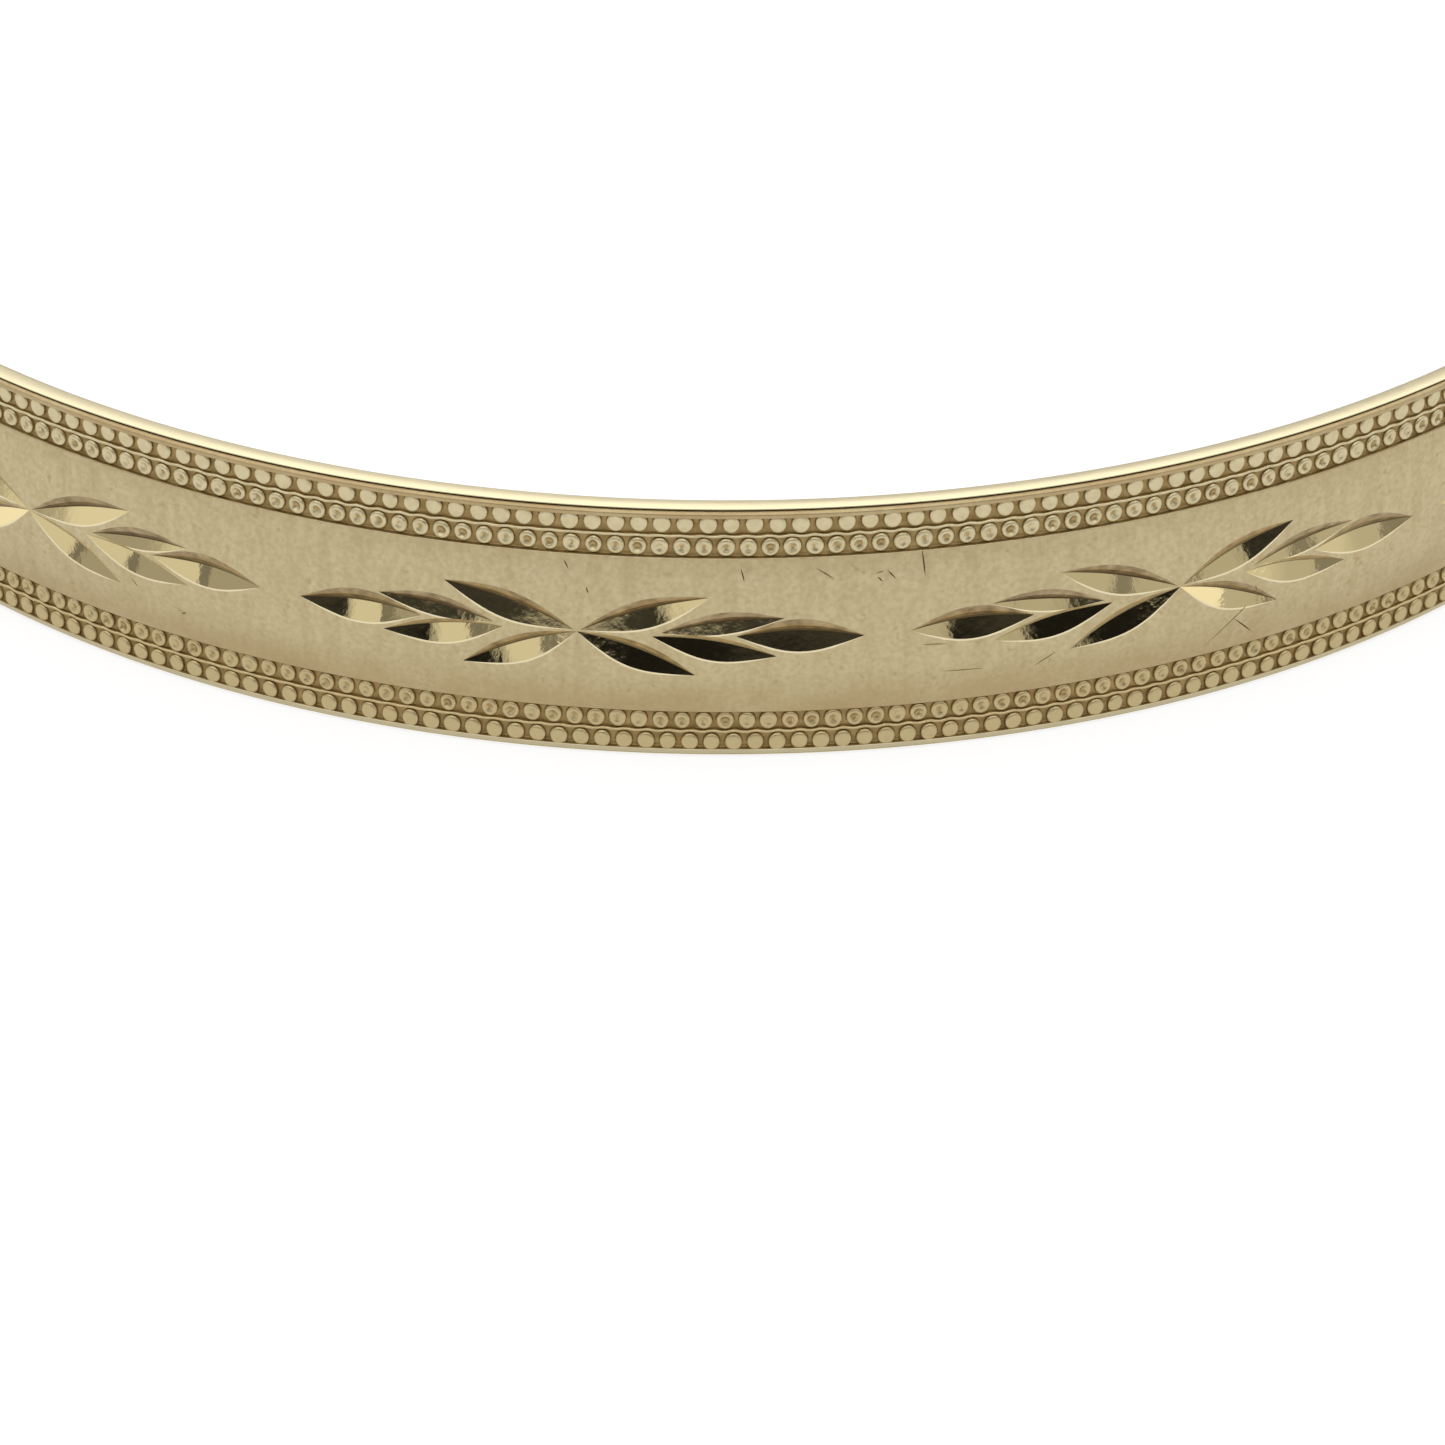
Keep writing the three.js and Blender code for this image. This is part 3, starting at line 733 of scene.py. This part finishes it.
def cut_sprays(strip, side):
    """Cuts one kind of leaf at a time, so that no cutter overlaps another of its own mesh."""
    draw = random.Random(12 + side)
    for leaf in LEAVES:
        for mirror in (1, -1):
            grooves = []
            for i in range(SPRAYS_PER_HALF):
                angle = SPRAY_SHIFT + (i - (SPRAYS_PER_HALF - 1) / 2) * SPRAY_PITCH
                s, z = leaf["tip"]
                tip = (s + draw.uniform(-0.06, 0.06), z + draw.uniform(-0.03, 0.03))
                grooves.append(leaf_cutter(side, angle, {**leaf, "tip": tip}, mirror))
            cut_grooves(strip, grooves)


def scratch(strip):
    """Cuts the front half's scratches one by one, as some of them cross."""
    for angle, start, end in SCRATCHES:
        line = {"root": start, "tip": end, "finish": CHANNEL_SLOT, **HAIRLINE}
        cut_grooves(strip, [leaf_cutter(-1, angle, line, 1)])


def hinge_seat():
    """What clears both halves round the knuckles."""
    reach = HALF_WIDTH + 1
    outline = [(0, -reach), (SEAT_RADIUS, -reach), (SEAT_RADIUS, reach), (0, reach)]
    return turned("seat", outline, (HINGE_X, 0))


def clasp_notch():
    """What opens the front half for the thumb button, from the spring leaf outwards."""
    foot = LEAF["free_inner"] + LEAF["thickness"]
    clear = TAB["top"] + 1.5
    outline = arc_band(-1, NOTCH["end"], (foot, foot), (clear, clear), 2)
    return hinge_plate("notch", outline, NOTCH["half_height"], [])


HINGE_END = -90 + SEAM_ANGLE
CLASP_END = 90 - SEAM_ANGLE


def mark_channels(obj):
    """Gives the sunk floor and walls of the borders, and the lower lip, their own finish."""
    for polygon in obj.data.polygons:
        radius, z = middle_of(polygon)
        height = abs(z)
        sunk = float(face_radius(height)) - radius
        if FIELD_EDGE - 0.001 < height < CHANNEL_TOP + 0.001 and 0.028 < sunk < 0.3:
            polygon.material_index = CHANNEL_SLOT
        elif z < -CHANNEL_TOP:
            polygon.material_index = LIP_SLOT


def outer_strip(half, side):
    """One half's strip with its channels, sprays and scratches, open at the hinge and clasp."""
    points, faces = ring_sweep(strip_section(), side, HINGE_END, CLASP_END, RING_STEPS)
    strip = make_object(half + "_strip_engraved", points, faces, STRIP_MATERIALS)
    mark_channels(strip)
    cut_sprays(strip, side)
    if half == "front":
        scratch(strip)
    boolean(strip, hinge_seat())
    if half == "front":
        boolean(strip, clasp_notch())
    finish_mesh(strip, 14.0)
    return strip


# ---- Milgrain ----


def bead_template():
    """A flat-topped bead: points (across, along, out), each one's share of a dimple, and faces."""
    points = [(0.0, 0.0, 0.0)]
    dimples = [1.0]
    for r, out, dimple in BEAD_PROFILE:
        for k in range(BEAD_SIDES):
            a = 2 * math.pi * k / BEAD_SIDES
            points.append((r * math.cos(a), r * math.sin(a), out))
            dimples.append(dimple)
    faces = [(0, 1 + k, 1 + (k + 1) % BEAD_SIDES) for k in range(BEAD_SIDES)]
    for i in range(len(BEAD_PROFILE) - 1):
        a = 1 + i * BEAD_SIDES
        for k in range(BEAD_SIDES):
            m = (k + 1) % BEAD_SIDES
            faces.append((a + k, a + BEAD_SIDES + k, a + BEAD_SIDES + m, a + m))
    floor = 1 + (len(BEAD_PROFILE) - 1) * BEAD_SIDES
    faces.append(tuple(range(floor, floor + BEAD_SIDES)))
    return np.array(points), np.array(dimples), faces


def bead_row(side, border, row, count, dimple_range, draw):
    """One row of beads, each a little different, from the knuckles to the clasp."""
    template, dimples, faces = bead_template()
    start = HINGE_END + math.degrees((KNUCKLE_RADIUS + 0.25) / OUTER_RADIUS)
    pitch = 180.0 / count
    all_points, all_faces = [], []
    for i in range(count):
        angle = -90 + (i + 0.5) * pitch
        if angle < start:
            continue
        size = draw.uniform(0.97, 1.04)
        z = border * row + draw.uniform(-0.008, 0.008)
        out = draw.uniform(-0.008, 0.008)
        lean = draw.uniform(-0.07, 0.07)
        tip = draw.uniform(-0.05, 0.05)
        across = template[:, 0] * size * draw.uniform(0.97, 1.03)
        along = template[:, 1] * size * BEAD_STRETCH[border]
        proud = template[:, 2] + out + lean * across + tip * along
        proud = proud - dimples * draw.uniform(*dimple_range)
        degrees = angle + np.degrees(across / OUTER_RADIUS)
        base = len(template) * len(all_points)
        all_points.append(on_ring(side, degrees, BORDER_RADIUS - 0.02 + proud, z + along))
        all_faces += [tuple(v + base for v in face) for face in faces]
    return np.concatenate(all_points), all_faces


def ridge_wire(side, border):
    """The fine ridge between two rows: it waves into the gaps between the beads on both sides."""
    start = HINGE_END + math.degrees((KNUCKLE_RADIUS + 0.2) / OUTER_RADIUS)
    angles = np.linspace(start, CLASP_END, RIDGE_STEPS + 1)
    outer_phase = np.radians((angles + 90) * OUTER_BEADS[border] / 180 * 360)
    inner_phase = np.radians((angles + 90) * INNER_BEADS / 180 * 360)
    centre = RIDGE + RIDGE_WAVE * (np.cos(outer_phase) - np.cos(inner_phase))
    crest = -0.022 + 0.006 * np.cos(outer_phase) + 0.006 * np.cos(inner_phase)
    shape = [(-1.25, -0.2), (-1.0, -0.06), (-0.6, -0.01), (0, 0.0), (0.6, -0.01), (1, -0.06)]
    shape.append((1.25, -0.2))
    rows = []
    for offset, drop in shape:
        z = border * (centre + offset * RIDGE_HALF_WIDTH)
        rows.append(on_ring(side, angles, BORDER_RADIUS + crest + drop, z))
    return np.stack(rows, axis=1).reshape(-1, 3), swept_faces(RIDGE_STEPS, len(shape))


def milgrain(half, side, name, border):
    """Both rows of beads and the ridge of one border."""
    draw = random.Random(40 + side + 10 * border)
    parts = [
        bead_row(side, border, OUTER_ROW, OUTER_BEADS[border], OUTER_DIMPLE, draw),
        bead_row(side, border, INNER_ROW, INNER_BEADS, INNER_DIMPLE, draw),
        ridge_wire(side, border),
    ]
    points, faces = [], []
    for more_points, more_faces in parts:
        faces += [tuple(v + len(points) for v in face) for face in more_faces]
        points += more_points.tolist()
    rows = make_object(half + "_milgrain_" + name, points, faces, [BEAD, SIDE], 50.0)
    for polygon in rows.data.polygons:
        if middle_of(polygon)[0] < BORDER_RADIUS - BEAD_SHOULDER:
            polygon.material_index = 1
    return rows


# ---- Shells, hinge and clasp ----


def inner_shell(half, side):
    """One half's polished shell, duller where its rims round over towards the wrist."""
    reach = 90 - RIM_SEAM_ANGLE
    points, faces = ring_sweep(shell_section(), side, -reach, reach, RING_STEPS)
    shell = make_object(half + "_shell_polished", points, faces, [POLISH, EDGE])
    for polygon in shell.data.polygons:
        radius, z = middle_of(polygon)
        near_edge = abs(z) > HALF_WIDTH - RIM_ROUND + 0.01
        if near_edge and radius < RIM_INNER + RIM_ROUND - 0.02:
            polygon.material_index = 1
    boolean(shell, hinge_seat())
    finish_mesh(shell, 35.0)
    return shell


def hinge_block(half, side):
    """What closes a half's hollow at the hinge."""
    start = -90 + RECESS_ANGLE if half == "front" else -90 - LAP_ANGLE
    points, faces = ring_sweep(block_section(), side, start, -90 + HINGE_BLOCK_ANGLE, 6)
    block = make_object(half + "_hinge_end_block", points, faces, [INNER])
    boolean(block, hinge_seat())
    finish_mesh(block, 30.0)
    return block


def knuckle(name, low, high):
    """A hinge tube with its ends softened, from the CAD node's own height."""
    edge = 0.05
    profile = [
        (KNUCKLE_BORE, low + edge),
        (KNUCKLE_BORE + edge, low),
        (KNUCKLE_RADIUS - edge, low),
        (KNUCKLE_RADIUS - edge * 0.3, low + edge * 0.3),
        (KNUCKLE_RADIUS, low + edge),
        (KNUCKLE_RADIUS, high - edge),
        (KNUCKLE_RADIUS - edge * 0.3, high - edge * 0.3),
        (KNUCKLE_RADIUS - edge, high),
        (KNUCKLE_BORE + edge, high),
        (KNUCKLE_BORE, high - edge),
    ]
    return turned(name, profile, (HINGE_X, 0), [HARDWARE])


def pin():
    """The hinge pin, with its ends rounded over."""
    half = (pin_high.z - pin_low.z) / MM / 2
    radius = (pin_high.x - pin_low.x) / MM / 2
    crown = [(radius * math.cos(a), 0.08 * math.sin(a)) for a in np.linspace(0, math.pi / 2, 6)]
    upper = [(r if r > 1e-6 else 0, half - 0.08 + z) for r, z in crown]
    lower = [(r, -z) for r, z in reversed(upper)]
    return turned("hinge_pin_rod", lower + upper, (HINGE_X, 0), [HARDWARE])


def clasp_slot():
    """What opens the front clasp plate for the tongue."""
    inner = BLADE["inner"] - SLOT_CLEARANCE
    outer = LEAF["free_inner"] + LEAF["thickness"] + SLOT_CLEARANCE
    outline = arc_band(-1, 2, (inner, inner), (outer, outer), 2)
    return hinge_plate("slot", outline, BLADE["half_height"] + 0.1, [])


def front_clasp_plate():
    """The plate with the tongue's slot."""
    start = 90 - FRONT_PLATE_ANGLE
    points, faces = ring_sweep(block_section(), -1, start, 90 - RECESS_ANGLE, 3)
    plate = make_object("front_clasp_end_plate", points, faces, [INNER])
    boolean(plate, clasp_slot())
    boolean(plate, clasp_notch())
    finish_mesh(plate, 30.0)
    return plate


def back_clasp_plate():
    """The plate that holds the tongue's root."""
    start = 90 - BACK_PLATE_ANGLE
    points, faces = ring_sweep(block_section(), 1, start, 90 + LAP_ANGLE, 4)
    plate = make_object("back_clasp_end_plate", points, faces, [INNER])
    inner = BLADE["inner"] - SLOT_CLEARANCE
    outer = BLADE["outer"] + SLOT_CLEARANCE
    outline = arc_band(BLADE["root"] - SLOT_CLEARANCE, 1, (inner, inner), (outer, outer), 2)
    boolean(plate, hinge_plate("recess", outline, BLADE["half_height"] + SLOT_CLEARANCE, []))
    finish_mesh(plate, 30.0)
    return plate


def tongue_blade():
    """The lower leaf of the tongue, bent back on itself at its tip."""
    inner, outer = BLADE["inner"], BLADE["outer"]
    top = FOLD["outer"]
    middle = (inner + top) / 2
    reach = (top - inner) / 2
    turn = BLADE["tip"] - reach
    outline = [(inner, s) for s in np.linspace(BLADE["root"], turn, 14)]
    bend = np.radians(np.linspace(-80, 80, 9))
    outline += [(middle + reach * math.sin(a), turn + reach * math.cos(a)) for a in bend]
    outline += [(top, FOLD["start"]), (outer + 0.02, FOLD["start"])]
    outline += [(outer, s) for s in np.linspace(FOLD["start"] - 0.06, BLADE["root"], 14)]
    return hinge_plate("tongue_lower_leaf", outline, BLADE["half_height"], [SPRING], 0.03)


def spring_leaf():
    """The upper leaf of the tongue, which rises from the fold to its free end."""
    inner = (LEAF["fold_inner"], LEAF["free_inner"])
    outer = tuple(d + LEAF["thickness"] for d in inner)
    outline = arc_band(LEAF["fold"], LEAF["free"], inner, outer)
    return hinge_plate("tongue_upper_leaf", outline, LEAF_HALF_HEIGHT, [SPRING], 0.03)


def thumb_tab():
    """The small button that stands out of the notch, with grip grooves across its rounded top."""
    slope = (LEAF["free_inner"] - LEAF["fold_inner"]) / (LEAF["fold"] - LEAF["free"])
    foot = LEAF["free_inner"] + LEAF["thickness"] + SLOT_CLEARANCE
    length = TAB["end"] - TAB["start"]
    radius = length / 2
    crown = 0.6 * radius
    outline = [(foot, TAB["start"])]
    for a in np.radians(np.linspace(0, 180, 13)):
        out = TAB["top"] - crown + crown * math.sin(a)
        outline.append((out, TAB["start"] + radius * (1 - math.cos(a))))
    outline.append((foot - slope * length, TAB["end"]))
    button = hinge_plate("thumb_button", outline, TAB["half_height"], [HARDWARE], 0.07)
    for a in np.radians(GRIP["angles"]):
        out = TAB["top"] - crown + crown * math.sin(a)
        along = TAB["start"] + radius * (1 - math.cos(a))
        mouth = (GRIP["half_width"], -GRIP["half_width"])
        groove = [(out - GRIP["depth"], along)] + [(out + GRIP["depth"], along + w) for w in mouth]
        boolean(button, hinge_plate("grip", groove, TAB["half_height"] + 1, []))
    finish_mesh(button, 35.0)
    return button


# ---- Safety catch ----


def centre_of(node):
    """The middle of a CAD node's box, in millimetres about the middle of the width."""
    low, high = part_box(node)
    return (low + high) / 2 / MM - Vector((0, 0, HALF_WIDTH))


def safety_tube():
    """The small tube on the back half's upper rim, lying along X."""
    low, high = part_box("safety_hinge_tube")
    half = (high.x - low.x) / MM / 2
    radius = (high.z - low.z) / MM / 2
    bore, edge = 0.3, 0.04
    profile = [
        (bore, -half + edge),
        (bore + edge, -half),
        (radius - edge, -half),
        (radius, -half + edge),
        (radius, half - edge),
        (radius - edge, half),
        (bore + edge, half),
        (bore, half - edge),
    ]
    obj = turned("safety_tube_hinge", profile, (0, 0), [HARDWARE], 40)
    lay_along_x(obj, centre_of("safety_hinge_tube"))
    return obj


def lay_along_x(obj, place):
    """Turns an upright piece made at the origin onto its side, and moves it."""
    up = Matrix.Translation((0, 0, -HALF_WIDTH * MM))
    turn = Matrix.Rotation(math.pi / 2, 4, "Y")
    there = Matrix.Translation((place + Vector((0, 0, HALF_WIDTH))) * MM)
    obj.data.transform(there @ turn @ up)


def closed_wire(path, radius, sides=16):
    """Points and faces of a closed wire along a flat path in the XY plane."""
    path = np.array(path)
    ahead = np.roll(path, -1, axis=0) - np.roll(path, 1, axis=0)
    ahead /= np.linalg.norm(ahead, axis=1)[:, None]
    outward = np.stack([ahead[:, 1], -ahead[:, 0], np.zeros(len(path))], axis=1)
    points = []
    for k in range(sides):
        a = 2 * math.pi * k / sides
        points.append(path + radius * (math.cos(a) * outward + math.sin(a) * np.array([0, 0, 1])))
    points = np.stack(points, axis=1).reshape(-1, 3)
    faces = []
    count = len(path)
    for i in range(count):
        n = (i + 1) % count
        for k in range(sides):
            m = (k + 1) % sides
            faces.append((i * sides + k, i * sides + m, n * sides + m, n * sides + k))
    return points, faces


def smooth_loop(corners, steps):
    """A closed Catmull-Rom curve through the corners, with that many steps to each."""
    corners = np.array(corners, float)
    count = len(corners)
    path = []
    for i in range(count):
        a, b, c, d = (corners[(i + k) % count] for k in (-1, 0, 1, 2))
        for t in np.arange(steps) / steps:
            square = (2 * a - 5 * b + 4 * c - d) * t**2
            cube = (3 * b - a - 3 * c + d) * t**3
            path.append(0.5 * (2 * b + (c - a) * t + square + cube))
    return path


def figure_eight():
    """The safety wire: an eye with a straight side that turns in the tube, and a round eye."""
    tube_low, tube_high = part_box("safety_hinge_tube")
    wire_low, wire_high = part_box("figure_eight_wire")
    ball_low, ball_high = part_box("safety_ball_peg")
    pivot = centre_of("safety_hinge_tube")
    reach = pivot.y - centre_of("safety_ball_peg").y
    eye = (ball_high.x - ball_low.x) / MM / 2 + 0.09 + WIRE_RADIUS
    half = (tube_high.x - tube_low.x) / MM / 2
    shoulder = half + WIRE_RADIUS + 0.18
    waist = reach - eye - WIRE_RADIUS / 2
    right = [(0, 0), (half + 0.1, 0), (shoulder, 0.3), (shoulder, 0.9)]
    right += [(0.7 * shoulder, 0.6 * waist), (0.3 * shoulder, 0.86 * waist), (0, waist)]
    corners = [(x, y, 0) for x, y in right] + [(-x, y, 0) for x, y in right[1:-1][::-1]]
    place = np.array(pivot)
    path = np.array(smooth_loop(corners, 8))
    widest = (wire_high.x - wire_low.x) / MM / 2 - WIRE_RADIUS
    path[:, 0] *= widest / path[:, 0].max()
    points, faces = closed_wire(path + place, WIRE_RADIUS)
    wire = make_object("safety_figure_eight", points, faces, [HARDWARE], 60.0)
    turn = np.linspace(0, 2 * math.pi, 64, endpoint=False)
    circle = np.stack([eye * np.cos(turn), reach + eye * np.sin(turn), 0 * turn], axis=1)
    points, faces = closed_wire(circle + place, WIRE_RADIUS)
    boolean(wire, make_object("ball_eye", points, faces, [HARDWARE], 60.0), "UNION")
    finish_mesh(wire, 60.0)
    return wire


def ball_peg():
    """A polished ball on a short post, on the front half's upper rim."""
    low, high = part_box("safety_ball_peg")
    place = centre_of("safety_ball_peg")
    bottom = low.z / MM - HALF_WIDTH
    top = high.z / MM - HALF_WIDTH
    ball, post = 0.55, 0.3
    middle = top - ball
    start = math.asin(post / ball)
    neck = middle - ball * math.cos(start)
    profile = [(0, bottom), (post + 0.06, bottom), (post + 0.02, bottom + 0.06)]
    profile += [(post, bottom + 0.14), (post, neck - 0.02)]
    for a in np.linspace(start, math.pi, 18)[1:-1]:
        profile.append((ball * math.sin(a), middle - ball * math.cos(a)))
    profile.append((0, top))
    return turned("safety_ball", profile, (place.x, place.y), [HARDWARE], 48)


# ---- Assembly ----


def attach(piece, body, slot, *nodes):
    """The piece rides on its body and stands for those CAD nodes, which are hidden; the finish
    given with it is not used.
    """
    if nodes:
        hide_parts(*nodes)
    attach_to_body(piece, body)


for half, side in (("front", -1), ("back", 1)):
    body = half + "_half"
    strip_node = half + "_outer_strip"
    attach(outer_strip(half, side), body, "satin_gold", strip_node)
    attach(milgrain(half, side, "upper", 1), body, "satin_gold", strip_node)
    attach(milgrain(half, side, "lower", -1), body, "satin_gold", strip_node)
    attach(inner_shell(half, side), body, "polished_gold", half + "_inner_shell")
    attach(hinge_block(half, side), body, "inner_gold", half + "_hinge_block")

for node in sorted(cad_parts):
    if "_knuckle_" in node:
        low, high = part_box(node)
        tube = knuckle(node + "_tube", low.z / MM - HALF_WIDTH, high.z / MM - HALF_WIDTH)
        attach(tube, node.split("_")[0] + "_half", "polished_gold", node)

attach(pin(), "front_half", "polished_gold", "hinge_pin")
attach(front_clasp_plate(), "front_half", "inner_gold", "front_clasp_plate")
attach(back_clasp_plate(), "back_half", "inner_gold", "back_clasp_plate")
attach(tongue_blade(), "back_half", "spring_gold", "tongue_blade")
attach(spring_leaf(), "spring_leaf", "spring_gold", "tongue_spring_leaf")
attach(thumb_tab(), "spring_leaf", "polished_gold", "thumb_tab")
attach(safety_tube(), "back_half", "polished_gold", "safety_hinge_tube")
attach(figure_eight(), "figure_eight", "polished_gold", "figure_eight_wire")
attach(ball_peg(), "front_half", "polished_gold", "safety_ball_peg")


# ---- Stage ----


def floor():
    """A large white light table that the bangle stands on."""
    reach = 3.0
    mesh = bpy.data.meshes.new("table")
    corners = [(-reach, -reach, 0), (reach, -reach, 0), (reach, reach, 0), (-reach, reach, 0)]
    mesh.from_pydata(corners, [], [(0, 1, 2, 3)])
    table = bpy.data.objects.new("table", mesh)
    bpy.context.scene.collection.objects.link(table)
    material, shader = new_material("table_white", (FLOOR_TONE,) * 3, 0.9)
    shader.inputs["Metallic"].default_value = 0.0
    shader.inputs["Specular IOR Level"].default_value = 0.0
    shader.inputs["Emission Color"].default_value = (1.0, 1.0, 1.0, 1.0)
    shader.inputs["Emission Strength"].default_value = FLOOR_GLOW
    mesh.materials.append(material)


def studio():
    """A tent of soft light: white overhead, grey walls with a dark post on each side, and a dark
    opening that faces the bangle."""
    world = bpy.data.worlds.new("studio")
    bpy.context.scene.world = world
    world.use_nodes = True
    nodes, links = world.node_tree.nodes, world.node_tree.links
    background = nodes["Background"]

    place = nodes.new("ShaderNodeTexCoord")
    split = nodes.new("ShaderNodeSeparateXYZ")
    links.new(place.outputs["Generated"], split.inputs["Vector"])
    x, y, z = split.outputs
    front = math.radians(CAMERA_AZIMUTH)
    east, north = math.cos(front), math.sin(front)
    ahead = math_node(world, "SUBTRACT", multiply(world, x, north), multiply(world, y, east))
    aside = math_node(world, "ADD", multiply(world, x, east), multiply(world, y, north))
    azimuth = math_node(world, "ARCTAN2", aside, ahead)
    elevation = math_node(world, "ARCSINE", z)

    def between(value, start, end):
        return share_between(world, value, math.radians(start), math.radians(end))

    walls = WALL_LEVEL
    for start, end, change in WALL_LIGHT:
        change = multiply(world, between(azimuth, start, end), change)
        walls = math_node(world, "ADD", walls, change)
    brighter = math_node(world, "SUBTRACT", OVERHEAD_LEVEL, walls)
    overhead = multiply(world, between(elevation, *OVERHEAD_FADE), brighter)
    level = math_node(world, "ADD", walls, overhead)
    sides = multiply(world, *(between(azimuth, *fade) for fade in OPENING_SIDES))
    heights = multiply(world, *(between(elevation, *fade) for fade in OPENING_HEIGHTS))
    glow = multiply(world, between(elevation, *GLOW_FADE), GLOW_LEVEL)
    opening = multiply(world, sides, heights)
    deepest = math_node(world, "SUBTRACT", OPENING_DARKNESS, glow)
    darkness = multiply(world, opening, deepest)
    level = multiply(world, level, math_node(world, "SUBTRACT", 1.0, darkness))
    links.new(level, background.inputs["Strength"])
    background.inputs["Color"].default_value = (1.0, 1.0, 1.0, 1.0)


def camera():
    """The photograph's camera, fitted to the two rims."""
    data = bpy.data.cameras.new("camera")
    data.lens = CAMERA_LENS
    data.sensor_width = 36.0
    data.clip_start = 0.005
    camera = bpy.data.objects.new("camera", data)
    bpy.context.scene.collection.objects.link(camera)
    azimuth = math.radians(CAMERA_AZIMUTH)
    yaw = azimuth + math.radians(CAMERA_YAW)
    pitch, roll = math.radians(CAMERA_PITCH), math.radians(CAMERA_ROLL)
    level = Vector((-math.sin(yaw), math.cos(yaw), 0))
    forward = math.cos(pitch) * level - math.sin(pitch) * Vector((0, 0, 1))
    up = math.sin(pitch) * level + math.cos(pitch) * Vector((0, 0, 1))
    right = forward.cross(up)
    turned_right = math.cos(roll) * right + math.sin(roll) * up
    turned_up = math.cos(roll) * up - math.sin(roll) * right
    axes = Matrix((turned_right, turned_up, -forward)).transposed().to_4x4()
    distance = CAMERA_DISTANCE * OUTER_RADIUS * MM
    height = (CAMERA_HEIGHT * OUTER_RADIUS + HALF_WIDTH) * MM
    spot = Vector((distance * math.sin(azimuth), -distance * math.cos(azimuth), height))
    camera.matrix_world = Matrix.Translation(spot) @ axes
    bpy.context.scene.camera = camera


floor()
studio()
camera()
bpy.context.scene.view_settings.view_transform = "Standard"
